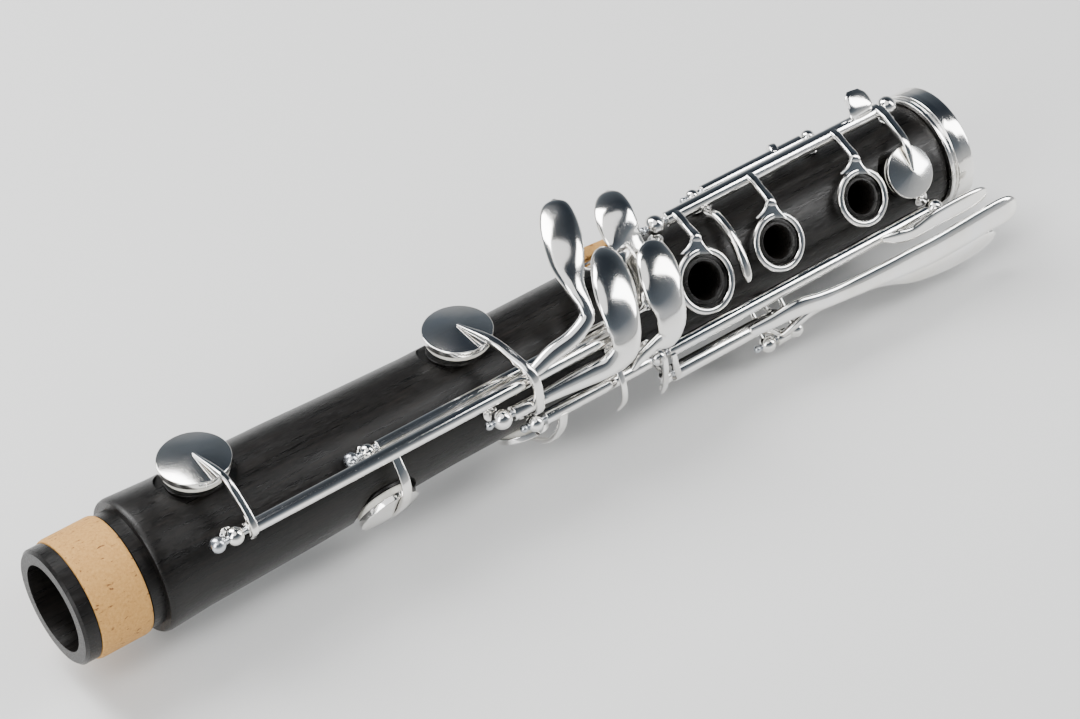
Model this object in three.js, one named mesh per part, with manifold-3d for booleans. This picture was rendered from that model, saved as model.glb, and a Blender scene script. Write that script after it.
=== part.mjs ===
// Lower joint of a Boehm-system clarinet: wooden body, silver-plated keywork and cork tenon.
// Millimetres. Origin: centre of the upper socket's mouth. +X points out of the socket.
// The joint is modelled upright in playing coordinates (front = finger holes = +Z, the
// player's right = +Y) and then rolled about its bore to the way it lies on a table.
import * as THREE from 'three';
import { mergeVertices } from 'three/addons/utils/BufferGeometryUtils.js';
import Module from 'manifold-3d';

const wasm = await Module();
wasm.setup();

// ---------------------------------------------------------------- driving dimensions
const REST_ROLL = 52.4;          // degrees the finger-hole line leans towards the player's left
const GAP = 0.3;                 // clearance between pieces that touch on the real joint
const SIDES = 10;                // facets of a round tube
const ROUND = 22;                // facets of a cup, ring or pad

const TOTAL_LENGTH = 269;
const TENON_LENGTH = 21;
const SHOULDER_X = TENON_LENGTH - TOTAL_LENGTH;
const SHOULDER_RADIUS = 17;
const MID_RADIUS = 14.4;
const TENON_RADIUS = 14.6;
const CORK_SEAT_RADIUS = 13.9;
const CORK_RADIUS = 15.15;
const CORK_LENGTH = 13.4;
const CORK_FRONT_X = -TOTAL_LENGTH + 4.1;
const BORE_RADIUS = 7.35;
const BELL_END_BORE_RADIUS = 11;
const FLARE_START_X = -165;
const SOCKET_RADIUS = 11.4;
const SOCKET_DEPTH = 20.5;
const RING_HEIGHT = 7.6;
const RING_RADIUS = 16.5;

const ROD_RADIUS = 0.9;
const TUBE_BORE = ROD_RADIUS + GAP;
const FOOT_RADIUS = 2;           // round foot of a post
const FOOT_HEIGHT = 0.5;
const STEM_RADIUS = 0.8;
const PAD_WALL = 0.55;           // metal of a pad cup
const CUP_CONE = 1.1;            // height of the shallow cone on a cup
const SPRING_RADIUS = 0.25;
const SPRING_OFFSET = { y: -0.8, z: -3 };   // from the tube it works to the spring's line

// Body outline: distance along the joint and outer radius, from the tenon shoulder upwards.
const BODY_OUTLINE = [
  [SHOULDER_X, 16.5], [SHOULDER_X + 1.4, SHOULDER_RADIUS], [-236, 16.4], [-204, 15.7],
  [-186, 15.0], [-165, MID_RADIUS], [-90, MID_RADIUS], [-30, 14.5], [-8, 14.7],
];

// Hinge lines: distance from the bore axis, clock angle from the finger-hole line
// (positive towards the player's right) and tube radius.
const HINGES = {
  ring: { reach: 19.3, clock: 60.5, tube: 1.9 },
  sliver: { reach: 18.8, clock: 73.8, tube: 1.6 },
  lowE: { reach: 21, clock: -0.2, tube: 1.8 },
  lowF: { reach: 20, clock: -17.2, tube: 1.9 },
  fSharp: { reach: 17.3, clock: 6.5, tube: 1.5 },
  aFlat: { reach: 20, clock: -34.2, tube: 1.8 },
  leverF: { reach: 25.2, clock: -77, tube: 1.8 },
  leverE: { reach: 21.3, clock: -57, tube: 2.2 },
};
HINGES.leverFs = HINGES.aFlat;

// Finger holes 6, 5 and 4 with their key rings.
const FINGER_HOLES = [
  { x: -88.8, hole: 4.6, ring: 6.7 },
  { x: -65, hole: 4.1, ring: 5.9 },
  { x: -37, hole: 4.1, ring: 5.9 },
];
const KEY_RING_WIDTH = 1.75;
const KEY_RING_HEIGHT = 1.4;
const KEY_RING_TOP = 17.4;
const CHIMNEY_TOP = 16.2;
const CHIMNEY_CLEARANCE = 0.75;

// Pad cups. lift is the opening of the key in degrees at rest (0 = closed pad).
const CUPS = {
  lowE: { x: -227.7, clock: 63, radius: 8.8, height: 1.8, pad: 1.7, lift: 8.5 },
  lowF: { x: -153.7, clock: 64, radius: 8.7, height: 1.8, pad: 1.7, lift: 9 },
  ring: { x: -21.4, clock: -1, radius: 6.9, height: 1.5, pad: 1.5, lift: -4.5 },
  fSharp: { x: -186.6, clock: -64, radius: 8, height: 1.8, pad: 1.7, lift: 0 },
  aFlat: { x: -142, clock: -95, radius: 7, height: 1.7, pad: 1.6, lift: 0 },
  sliver: { x: -47, clock: 100, radius: 4.8, height: 1.5, pad: 1.3, lift: 0 },
};
// Crow's foot under the outer right-hand touches: position and half width along it.
const CROWS_FOOT = [[-122.4, 18.2, 11.8, 2.2], [-115.4, 17.6, 10.6, 3.2], [-105, 17.2, 8.3, 2.2]];
const CROWS_FOOT_HALF = 0.5;
const CROWS_FOOT_CORK = 0.7;     // thickness of the cork glued on it
const SEAT_DROP = 1.1;           // how far a pad seat lies below the body's outline
const SEAT_LIP = 1.6;            // width of the raised rim that the pad closes on
const SPOT_FACE_DEPTH = 0.8;     // depth of the flat cut round that rim
const SPOT_FACE_MARGIN = 0.9;

// ---------------------------------------------------------------- materials
const paint = (color, roughness, metalness) =>
  new THREE.MeshStandardMaterial({ color, roughness, metalness });
const SILVER = paint(0xd9dbdc, 0.16, 1);
const STEEL = paint(0x8f969c, 0.3, 1);
const BLUED_STEEL = paint(0x3c4a66, 0.35, 1);
const GRENADILLA = paint(0x17130f, 0.42, 0);
const CORK = paint(0xdcb987, 0.9, 0);
const PAD_SKIN = paint(0xf0ece0, 0.75, 0);

// ---------------------------------------------------------------- solids and booleans
function toSolid(geometry) {
  const bare = geometry.clone();
  bare.deleteAttribute('normal');
  bare.deleteAttribute('uv');
  const merged = mergeVertices(bare, 1e-4);
  return new wasm.Manifold(new wasm.Mesh({
    numProp: 3,
    vertProperties: new Float32Array(merged.attributes.position.array),
    triVerts: new Uint32Array(merged.index.array),
  }));
}

function fromSolid(solid) {
  const mesh = solid.getMesh();
  const geometry = new THREE.BufferGeometry();
  geometry.setAttribute('position', new THREE.BufferAttribute(new Float32Array(mesh.vertProperties), 3));
  geometry.setIndex(new THREE.BufferAttribute(new Uint32Array(mesh.triVerts), 1));
  geometry.computeVertexNormals();
  return geometry;
}

function join(geometries) {
  return geometries.map(toSolid).reduce((sum, solid) => sum.add(solid));
}

function cut(solid, geometries) {
  return geometries.map(toSolid).reduce((rest, tool) => rest.subtract(tool), solid);
}

// ---------------------------------------------------------------- placing helpers
const radians = THREE.MathUtils.degToRad;

// Point at a distance from the bore axis and a clock angle round it.
function around(x, reach, clock) {
  const angle = radians(clock);
  return new THREE.Vector3(x, Math.sin(angle) * reach, Math.cos(angle) * reach);
}

function bodyRadius(x) {
  const next = BODY_OUTLINE.findIndex(([station]) => station >= x);
  if (next <= 0) return BODY_OUTLINE[Math.max(next, 0)][1];
  const [x0, r0] = BODY_OUTLINE[next - 1];
  const [x1, r1] = BODY_OUTLINE[next];
  return THREE.MathUtils.lerp(r0, r1, (x - x0) / (x1 - x0));
}

function hingePoint(hinge, x) {
  return around(x, hinge.reach, hinge.clock);
}

// Turns a point or a geometry about a hinge line, opening a key by some degrees.
function openAbout(geometry, hinge, degrees) {
  const pivot = hingePoint(hinge, 0);
  geometry.translate(0, -pivot.y, -pivot.z);
  geometry.rotateX(radians(degrees));
  geometry.translate(0, pivot.y, pivot.z);
  return geometry;
}

// ---------------------------------------------------------------- shape helpers
// Cylinder along X.
function rod(radius, x0, x1, y, z, sides = SIDES) {
  const geometry = new THREE.CylinderGeometry(radius, radius, x1 - x0, sides);
  geometry.rotateZ(-Math.PI / 2);
  return geometry.translate((x0 + x1) / 2, y, z);
}

function hingeRod(hinge, radius, x0, x1) {
  const centre = hingePoint(hinge, 0);
  return rod(radius, x0, x1, centre.y, centre.z);
}

// Lathe about the outward radial direction at a clock angle; profile is [radius, height].
function radialLathe(profile, x, clock, segments = ROUND) {
  const points = profile.map(([radius, height]) => new THREE.Vector2(radius, height));
  const geometry = new THREE.LatheGeometry(points, segments);
  geometry.rotateX(Math.PI / 2);
  geometry.rotateX(-radians(clock));
  return geometry.translate(x, 0, 0);
}

// Lathe about the bore axis; profile is [x, radius].
function boreLathe(profile, segments) {
  const points = profile.map(([x, radius]) => new THREE.Vector2(radius, x));
  const geometry = new THREE.LatheGeometry(points, segments);
  return geometry.rotateZ(-Math.PI / 2);
}

// A solid swept through stations. Each station has a centre p, a half height h along the
// normal and a half width w across it. The normal points away from the bore unless given.
// The section is an ellipse, or a squarer shape when squareness is below 1.
function sweep(stations, { normal = null, sides = 8, squareness = 1 } = {}) {
  const count = stations.length;
  const positions = [];
  stations.forEach((station, index) => {
    const before = stations[Math.max(index - 1, 0)].p;
    const after = stations[Math.min(index + 1, count - 1)].p;
    const along = new THREE.Vector3().subVectors(after, before).normalize();
    const high = normal ? normal.clone() : new THREE.Vector3(0, station.p.y, station.p.z).normalize();
    high.addScaledVector(along, -high.dot(along)).normalize();
    const wideHere = new THREE.Vector3().crossVectors(high, along).normalize();
    for (let side = 0; side < sides; side += 1) {
      const angle = (2 * Math.PI * (side + 0.5)) / sides;
      const c = Math.sign(Math.cos(angle)) * Math.abs(Math.cos(angle)) ** squareness;
      const s = Math.sign(Math.sin(angle)) * Math.abs(Math.sin(angle)) ** squareness;
      const point = station.p.clone();
      point.addScaledVector(wideHere, c * station.w);
      point.addScaledVector(high, s * station.h);
      positions.push(point.x, point.y, point.z);
    }
  });
  const index = [];
  for (let ring = 0; ring + 1 < count; ring += 1) {
    for (let side = 0; side < sides; side += 1) {
      const a = ring * sides + side;
      const b = ring * sides + ((side + 1) % sides);
      index.push(a, b, b + sides, a, b + sides, a + sides);
    }
  }
  const last = (count - 1) * sides;
  for (let side = 1; side + 1 < sides; side += 1) {
    index.push(0, side + 1, side);
    index.push(last, last + side, last + side + 1);
  }
  const geometry = new THREE.BufferGeometry();
  geometry.setAttribute('position', new THREE.Float32BufferAttribute(positions, 3));
  geometry.setIndex(index);
  return geometry;
}

const ALONG_X = new THREE.Vector3(1, 0, 0);
const UP = new THREE.Vector3(0, 0, 1);
const LEVER_FACE = new THREE.Vector3(0, -0.34, 0.94);
const SIDE_FACE = new THREE.Vector3(0, -0.66, 0.75);

// Stations from rows of [x, y, z, half width, half height], smoothed by a curve.
function stations(rows, steps) {
  const path = new THREE.CatmullRomCurve3(rows.map(([x, y, z]) => new THREE.Vector3(x, y, z)));
  const sizes = new THREE.CatmullRomCurve3(rows.map(([, , , w, h]) => new THREE.Vector3(w, h, 0)));
  return Array.from({ length: steps + 1 }, (_, step) => {
    const size = sizes.getPoint(step / steps);
    return { p: path.getPoint(step / steps), w: Math.max(size.x, 0.2), h: Math.max(size.y, 0.2) };
  });
}

// ---------------------------------------------------------------- node list
const joint = new THREE.Group();
joint.rotation.x = radians(REST_ROLL);

function addNode(name, geometry, material) {
  const mesh = new THREE.Mesh(geometry, material);
  mesh.name = name;
  joint.add(mesh);
}

// ---------------------------------------------------------------- body, ring and tenon cork
function seatHeight(cup) {
  return bodyRadius(cup.x) - SEAT_DROP;
}

function makeBody() {
  const corkRear = CORK_FRONT_X + CORK_LENGTH;
  const neck = -RING_HEIGHT - GAP;
  const outer = [
    [-TOTAL_LENGTH, TENON_RADIUS - 0.5], [-TOTAL_LENGTH + 0.6, TENON_RADIUS],
    [CORK_FRONT_X - GAP, TENON_RADIUS], [CORK_FRONT_X - GAP, CORK_SEAT_RADIUS],
    [corkRear + GAP, CORK_SEAT_RADIUS], [corkRear + GAP, TENON_RADIUS],
    [SHOULDER_X, TENON_RADIUS], ...BODY_OUTLINE, [neck, 14.7], [-1.6, 14.6],
  ];
  const inner = [
    [-1.6, SOCKET_RADIUS], [-SOCKET_DEPTH, SOCKET_RADIUS], [-SOCKET_DEPTH, BORE_RADIUS],
    [FLARE_START_X, BORE_RADIUS], [-220, 8.7], [-TOTAL_LENGTH, BELL_END_BORE_RADIUS],
  ];
  const profile = [...outer, ...inner, outer[0]];
  let solid = toSolid(boreLathe(profile, 36));

  const spotFaces = Object.values(CUPS).map((cup) => radialLathe([
    [0, seatHeight(cup) - SPOT_FACE_DEPTH], [cup.radius + SPOT_FACE_MARGIN, seatHeight(cup) - SPOT_FACE_DEPTH],
    [cup.radius + SPOT_FACE_MARGIN, 20], [0, 20],
  ], cup.x, cup.clock));
  solid = cut(solid, spotFaces);

  const seats = Object.values(CUPS).map((cup) => radialLathe([
    [0, BORE_RADIUS + 2], [cup.radius - SEAT_LIP, BORE_RADIUS + 2],
    [cup.radius - SEAT_LIP, seatHeight(cup)], [0, seatHeight(cup)],
  ], cup.x, cup.clock));
  const chimneys = FINGER_HOLES.map((hole) => radialLathe([
    [0, BORE_RADIUS + 2], [hole.ring - CHIMNEY_CLEARANCE, BORE_RADIUS + 2],
    [hole.ring - CHIMNEY_CLEARANCE, CHIMNEY_TOP], [0, CHIMNEY_TOP],
  ], hole.x, 0, 24));
  solid = [...seats, ...chimneys].map(toSolid).reduce((sum, piece) => sum.add(piece), solid);

  const toneHoles = Object.values(CUPS).map((cup) => radialLathe([
    [0, 4], [cup.radius - 2 * SEAT_LIP, 4], [cup.radius - 2 * SEAT_LIP, 20], [0, 20],
  ], cup.x, cup.clock, 20));
  const fingerHoles = FINGER_HOLES.map((hole) => radialLathe([
    [0, 4], [hole.hole, 4], [hole.hole, 20], [0, 20],
  ], hole.x, 0, 20));
  return fromSolid(cut(solid, [...toneHoles, ...fingerHoles]));
}

// Plated socket ring: a thin flange, a groove, a wide band and a rolled outer lip.
function makeSocketRing() {
  const fit = 14.7 + GAP;
  const profile = [
    [-RING_HEIGHT, fit], [-RING_HEIGHT, RING_RADIUS - 0.4], [-RING_HEIGHT + 1.2, RING_RADIUS - 0.4],
    [-RING_HEIGHT + 1.5, RING_RADIUS - 1.1], [-RING_HEIGHT + 2.1, RING_RADIUS - 1.1],
    [-RING_HEIGHT + 2.4, RING_RADIUS - 0.3], [-1.5, RING_RADIUS], [-0.5, RING_RADIUS], [0, RING_RADIUS - 0.5],
    [0, SOCKET_RADIUS + 0.4], [-1.3, SOCKET_RADIUS + 0.4], [-1.3, fit], [-RING_HEIGHT, fit],
  ];
  return boreLathe(profile, 40);
}

function makeTenonCork() {
  const rear = CORK_FRONT_X + CORK_LENGTH;
  const inner = CORK_SEAT_RADIUS + GAP;
  const profile = [
    [CORK_FRONT_X, inner], [CORK_FRONT_X, CORK_RADIUS - 0.3], [CORK_FRONT_X + 0.8, CORK_RADIUS],
    [rear - 0.8, CORK_RADIUS], [rear, CORK_RADIUS - 0.3], [rear, inner], [CORK_FRONT_X, inner],
  ];
  return boreLathe(profile, 40);
}

// ---------------------------------------------------------------- pad cups and pads
// Heights of a closed cup above the bore axis: pad face, cup rim, cup top, cone apex.
function cupLevels(cup) {
  const face = seatHeight(cup) + GAP / 2;
  const rim = face + cup.pad;
  return { face, rim, top: rim + cup.height, apex: rim + cup.height + CUP_CONE };
}

function makeCup(cup, hinge) {
  const { rim, top, apex } = cupLevels(cup);
  const inside = cup.radius - PAD_WALL;
  const geometry = radialLathe([
    [0, rim + cup.height - 0.9], [inside, rim + cup.height - 0.9], [inside, rim],
    [cup.radius, rim], [cup.radius, top - 0.3], [cup.radius - 0.4, top], [0, apex],
  ], cup.x, cup.clock);
  return openAbout(geometry, hinge, cup.lift);
}

function makePad(cup, hinge) {
  const { face, rim } = cupLevels(cup);
  const radius = cup.radius - PAD_WALL - GAP;
  const back = rim + cup.height - 0.9 - GAP;
  const geometry = radialLathe([
    [0, face], [radius - 0.6, face], [radius, face + 0.5], [radius, back], [0, back],
  ], cup.x, cup.clock, 24);
  return openAbout(geometry, hinge, cup.lift);
}

// Centre of the top of a cup as it stands at rest.
function cupTop(cup, hinge, rise = 0) {
  const top = around(cup.x, cupLevels(cup).apex + rise, cup.clock);
  const pivot = hingePoint(hinge, 0);
  const angle = radians(cup.lift);
  const y = top.y - pivot.y;
  const z = top.z - pivot.z;
  return new THREE.Vector3(
    cup.x,
    pivot.y + y * Math.cos(angle) - z * Math.sin(angle),
    pivot.z + y * Math.sin(angle) + z * Math.cos(angle),
  );
}

// A blade-shaped arm from a hinge tube to the middle of a cup, through chosen points.
function cupArm(cup, hinge, rows, tipWidth = 0.5) {
  const end = cupTop(cup, hinge, 0.25);
  const path = [...rows, [end.x, end.y, end.z, tipWidth, 0.45]];
  return sweep(stations(path, 9), { sides: 6, squareness: 0.7 });
}

// ---------------------------------------------------------------- keys
function finishKey(pieces, hinge, x0, x1) {
  const solid = join([hingeRod(hinge, hinge.tube, x0, x1), ...pieces]);
  return fromSolid(cut(solid, [hingeRod(hinge, TUBE_BORE, x0 - 1, x1 + 1)]));
}

function makeKeyRing(hole) {
  const bottom = KEY_RING_TOP - KEY_RING_HEIGHT;
  const outer = hole.ring + KEY_RING_WIDTH;
  return radialLathe([
    [hole.ring, bottom], [outer, bottom], [outer, KEY_RING_TOP - 0.3], [outer - 0.5, KEY_RING_TOP],
    [hole.ring + 0.4, KEY_RING_TOP], [hole.ring, KEY_RING_TOP - 0.3], [hole.ring, bottom],
  ], hole.x, 0, 24);
}

function makeRingKey() {
  const hinge = HINGES.ring;
  const pivot = hingePoint(hinge, 0);
  const middle = KEY_RING_TOP - KEY_RING_HEIGHT / 2;
  const pieces = [makeCup(CUPS.ring, hinge)];
  FINGER_HOLES.forEach((hole) => {
    const edge = hole.ring + KEY_RING_WIDTH / 2;
    pieces.push(makeKeyRing(hole));
    pieces.push(sweep(stations([
      [hole.x + 2.5, pivot.y, pivot.z + 1.2, 1.2, 0.9], [hole.x + 2.4, pivot.y - 2.5, pivot.z + 4, 1.1, 0.9],
      [hole.x + 1.8, edge + 3, middle - 0.4, 1.3, 0.8], [hole.x + 0.6, edge - 0.1, middle, 3, 0.6],
    ], 6), { sides: 6, squareness: 0.7 }));
  });
  pieces.push(cupArm(CUPS.ring, hinge, [
    [-19, pivot.y, pivot.z + 1.2, 1.3, 0.9], [-19.4, pivot.y - 2.6, pivot.z + 4.6, 1.2, 0.9],
    [-20.3, pivot.y - 9, pivot.z + 9.2, 1.1, 0.8],
  ]));
  // Bridge lever that the upper joint's ring key presses.
  pieces.push(sweep(stations([
    [-24.5, pivot.y + 0.5, pivot.z + 1, 3, 0.8], [-24.5, pivot.y + 3, pivot.z + 1.8, 3.8, 0.8],
    [-24.2, pivot.y + 6, pivot.z + 1, 3.4, 0.8], [-24, pivot.y + 7.6, pivot.z + 0.2, 2, 0.6],
  ], 5), { normal: UP, squareness: 0.6 }));
  return finishKey(pieces, hinge, -89.2, -18.6);
}

function makeSliverKey() {
  const hinge = HINGES.sliver;
  const x = -76.9;
  const overBody = (clock, reach, w, h) => {
    const p = around(x, reach, clock);
    return [x - (40 - clock) * 0.02, p.y, p.z, w, h];
  };
  const pivot = hingePoint(hinge, 0);
  const collarX = -73.2;
  const touch = sweep(stations([
    [collarX, pivot.y, pivot.z - 1, 1, 0.9], [x + 3, ...overBody(66, 16.2, 0, 0).slice(1, 3), 0.9, 0.7],
    overBody(56, 16.1, 1, 0.8), overBody(44, 17.6, 1.15, 1.2), overBody(26, 18.1, 1.2, 1.2),
    overBody(6, 18.2, 1.2, 1.2), overBody(-10, 18.3, 1.2, 1.15), overBody(-16, 18.3, 0.6, 0.7),
  ], 18), { squareness: 0.7 });
  const arm = cupArm(CUPS.sliver, hinge, [
    [-50, pivot.y + 0.6, pivot.z + 1, 1.1, 0.8], [-49, pivot.y + 2, pivot.z - 1.5, 1, 0.7],
  ]);
  return finishKey([touch, makeCup(CUPS.sliver, hinge), arm], hinge, -74.1, -41.2);
}

// Teardrop touch piece with its stem.
function paddle(rows, steps = 16) {
  return sweep(stations(rows, steps), { sides: 10, squareness: 0.85 });
}

function makeLowEKey() {
  const hinge = HINGES.lowE;
  const pivot = hingePoint(hinge, 0);
  const arm = cupArm(CUPS.lowE, hinge, [
    [-225.6, pivot.y - 1.9, pivot.z - 0.6, 1, 0.9], [-225.6, pivot.y + 0.2, pivot.z + 2, 1, 1.1],
    [-225.8, pivot.y + 6, pivot.z + 1.5, 1, 1.1], [-226.6, pivot.y + 13.6, pivot.z - 0.7, 0.9, 0.9],
  ]);
  const touch = paddle([
    [-150, 0.3, 21.2, 0.8, 0.7], [-145, 1.2, 21.8, 1.6, 1.2], [-138.9, 3.2, 22.6, 2.2, 1.7],
    [-132.8, 4.5, 23.6, 2.1, 1.7], [-127.6, 7.1, 24.2, 2, 1.6], [-126.6, 10.6, 23.9, 2, 1.5],
    [-126.3, 15.5, 22.3, 2.8, 1.5], [-124.7, 19.8, 20, 4.2, 1.5], [-122.2, 25, 17.6, 4.9, 1.5],
    [-119.7, 29.7, 14.6, 4.6, 1.4], [-117.6, 33, 12.2, 3.4, 1.2], [-116.7, 34.4, 11.2, 0.6, 0.4],
  ], 22);
  return finishKey([arm, makeCup(CUPS.lowE, hinge), touch], hinge, -226.8, -121.4);
}

function makeLowFKey() {
  const hinge = HINGES.lowF;
  const pivot = hingePoint(hinge, 0);
  const arm = cupArm(CUPS.lowF, hinge, [
    [-146.6, pivot.y - 2.2, pivot.z - 1.6, 1.1, 0.8], [-146.6, pivot.y - 1.2, pivot.z + 2.2, 1.2, 1],
    [-147, 0.6, 25.2, 1.2, 1], [-148.7, 6.6, 23, 1.2, 1], [-151.1, 12.6, 19.3, 1.1, 0.9],
  ]);
  const touch = paddle([
    [-145, pivot.y, pivot.z + 0.3, 1.7, 1.4], [-137, -5.9, 19.7, 2.3, 2], [-130.8, -6, 20.4, 2.7, 2.2],
    [-125.3, -6, 21.7, 2.9, 2], [-121.3, -4.2, 23.9, 3.8, 1.7], [-119.9, -0.9, 25.3, 4.2, 1.5],
    [-119.3, 3.3, 25.6, 4.9, 1.5], [-118.4, 7.9, 24.8, 5.3, 1.5], [-116.3, 12.9, 22.6, 5, 1.5],
    [-114.3, 16.8, 19.9, 3.9, 1.4], [-113.2, 18.8, 18, 2.3, 1.1], [-112.8, 19.7, 17.1, 0.6, 0.4],
  ], 22);
  // Crow's foot: a plate under the two outer touches, carried by this key.
  const neck = sweep(stations([
    [-115.4, 15.2, 20, 0.8, 2], [-115.4, 16, 12.9, 0.8, 2],
  ], 1), { normal: ALONG_X, sides: 6, squareness: 0.6 });
  const plate = sweep(CROWS_FOOT.map(([x, y, z, w]) => (
    { p: new THREE.Vector3(x, y, z), w, h: CROWS_FOOT_HALF }
  )), { sides: 6, squareness: 0.5 });
  // Flat link arm that hangs beside the front tube.
  const link = sweep(stations([
    [-122.8, pivot.y - 0.5, pivot.z + 1.6, 0.9, 0.6], [-122.8, -12.5, 20.2, 0.8, 0.5],
    [-122.5, -16.8, 17, 0.8, 0.5], [-122.3, -19, 12.6, 0.7, 0.5],
  ], 6), { sides: 6, squareness: 0.5 });
  return finishKey([arm, makeCup(CUPS.lowF, hinge), touch, neck, plate, link], hinge, -152.9, -122);
}

function makeFSharpKey() {
  const hinge = HINGES.fSharp;
  const pivot = hingePoint(hinge, 0);
  const arm = cupArm(CUPS.fSharp, hinge, [
    [-184.4, pivot.y, pivot.z, 1.2, 0.5], [-184.4, pivot.y - 4.5, pivot.z + 0.4, 1.2, 0.55],
    [-184.5, pivot.y - 11, pivot.z + 0.2, 1.3, 0.6], [-185, pivot.y - 15.8, pivot.z - 3.2, 1.2, 0.6],
  ]);
  const touch = paddle([
    [-112, pivot.y, pivot.z + 0.3, 1, 0.7], [-109.6, 3.2, 18.1, 1.4, 1], [-108, 5.4, 17.4, 1.8, 1],
    [-106, 8.6, 17, 3.6, 1], [-105, 11.9, 16.5, 4.4, 1], [-104.9, 15.9, 15.4, 4.8, 1.2],
    [-105.1, 19.8, 15.1, 5.1, 1.4], [-104.5, 23, 14, 5.1, 1.4], [-103.2, 26.1, 12.3, 4.6, 1.3],
    [-101.4, 28.6, 9.8, 3.2, 1.1], [-100.4, 29.8, 8.4, 0.6, 0.4],
  ], 20);
  return finishKey([arm, makeCup(CUPS.fSharp, hinge), touch], hinge, -187.8, -108);
}

function makeAFlatKey() {
  const hinge = HINGES.aFlat;
  const pivot = hingePoint(hinge, 0);
  const arm = cupArm(CUPS.aFlat, hinge, [
    [-139.4, pivot.y - 0.6, pivot.z + 1, 1.2, 0.8], [-139.6, pivot.y - 4.6, pivot.z - 2.4, 1.2, 0.7],
    [-140.4, pivot.y - 7.6, pivot.z - 9, 1.1, 0.7],
  ]);
  const touch = paddle([
    [-118, pivot.y + 0.2, pivot.z + 0.8, 0.8, 0.8], [-114.6, -8.8, 18.8, 1.5, 1.2],
    [-110.6, -7.2, 20.6, 1.9, 1.4], [-107.7, -6.6, 22.2, 3.1, 1.4], [-106.4, -4.1, 23.8, 4, 1.4],
    [-105.7, -0.2, 25, 4.5, 1.4], [-105.6, 3.8, 25.2, 5.3, 1.4], [-104.8, 8, 24.6, 5.5, 1.4],
    [-103, 12.4, 22.8, 4.8, 1.4], [-101.2, 15.2, 21.1, 2.8, 1.1], [-100.5, 16.2, 20.4, 0.6, 0.4],
  ], 20);
  return finishKey([arm, makeCup(CUPS.aFlat, hinge), touch], hinge, -144.2, -112);
}

// Left-hand levers: the tube on its hinge, a long arm and a spoon-shaped touch.
function makeLeverE() {
  const arm = sweep(stations([
    [-80, -17.8, 13.2, 1.6, 0.9], [-74.4, -17.6, 15.2, 2, 1.1], [-67.4, -17.1, 17.6, 2.4, 1.2],
    [-59.4, -18.4, 17.8, 2.5, 1.2], [-50.8, -19.2, 17.6, 2.6, 1.2], [-39, -19.8, 18.2, 3, 1.2],
    [-30.7, -20.2, 18.6, 3.4, 1.1], [-22, -20.5, 18.7, 3.6, 1.1], [-13.6, -20.3, 19, 3.7, 1.1],
    [-5.2, -19.9, 19.5, 3.7, 1.1], [1, -19.9, 19.7, 3.6, 1], [4, -20, 19.6, 2.3, 0.8],
    [4.9, -20.1, 19.5, 0.4, 0.3],
  ], 26), { normal: LEVER_FACE, squareness: 0.9 });
  const link = sweep(stations([
    [-103.6, -18.4, 12.6, 0.8, 0.5], [-104.9, -18, 15.4, 0.8, 0.45], [-106.4, -14.6, 18.6, 0.8, 0.45],
    [-106.9, -11.6, 20.4, 0.7, 0.4],
  ], 6), { sides: 6, squareness: 0.5 });
  return finishKey([arm, link], HINGES.leverE, -104.4, -73.8);
}

function makeLeverFSharp() {
  const arm = sweep(stations([
    [-37, -11.8, 18, 1, 0.7], [-33.6, -12.8, 19.6, 2, 1], [-29, -13.5, 20.2, 2, 1],
    [-22, -12.9, 21, 2.6, 1], [-14, -12.8, 21.3, 2.8, 1], [-8, -12.9, 21.1, 2.7, 1],
    [-4.6, -13.2, 20.8, 1.9, 0.7], [-3.4, -13.3, 20.7, 0.5, 0.3],
  ], 14), { squareness: 0.9 });
  return finishKey([arm], HINGES.leverFs, -106.2, -20.6);
}

function makeLeverF() {
  const touch = sweep(stations([
    [-68, -24, 7.2, 0.9, 0.8], [-65, -22.6, 9.6, 1.2, 1], [-60, -21, 11.8, 1.4, 1],
    [-50, -21, 12.8, 1.5, 1], [-38, -22.6, 13.2, 1.9, 1], [-28, -25, 13.8, 3, 1], [-17, -26, 13.9, 3.85, 1.05],
    [-8, -25.9, 14.1, 3.85, 1.05], [-3, -25.7, 14.4, 2.4, 0.9], [-1, -25.6, 14.5, 0.5, 0.3],
  ], 20), { normal: SIDE_FACE, squareness: 0.9 });
  // Hidden arm that runs back under the thick tube to a link over the front tube.
  const back = sweep(stations([
    [-68.4, -23.6, 6.2, 0.9, 0.9], [-72, -21, 7.2, 1.1, 0.8], [-78, -19.6, 7.5, 1.2, 0.8],
    [-92, -19.5, 7.5, 1.2, 0.8], [-103, -19.9, 7.6, 1.1, 0.8], [-107, -20.8, 8.6, 0.9, 0.7],
  ], 10), { squareness: 0.8 });
  const link = sweep(stations([
    [-106.6, -20.8, 8.4, 0.8, 0.5], [-108.4, -20.9, 11.2, 0.8, 0.45], [-109.2, -18.6, 15, 0.8, 0.45],
    [-109.9, -14.6, 19.2, 0.8, 0.45], [-110.2, -11.4, 21.4, 0.7, 0.4],
  ], 7), { sides: 6, squareness: 0.5 });
  return finishKey([touch, back, link], HINGES.leverF, -69.7, -65.9);
}

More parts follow.
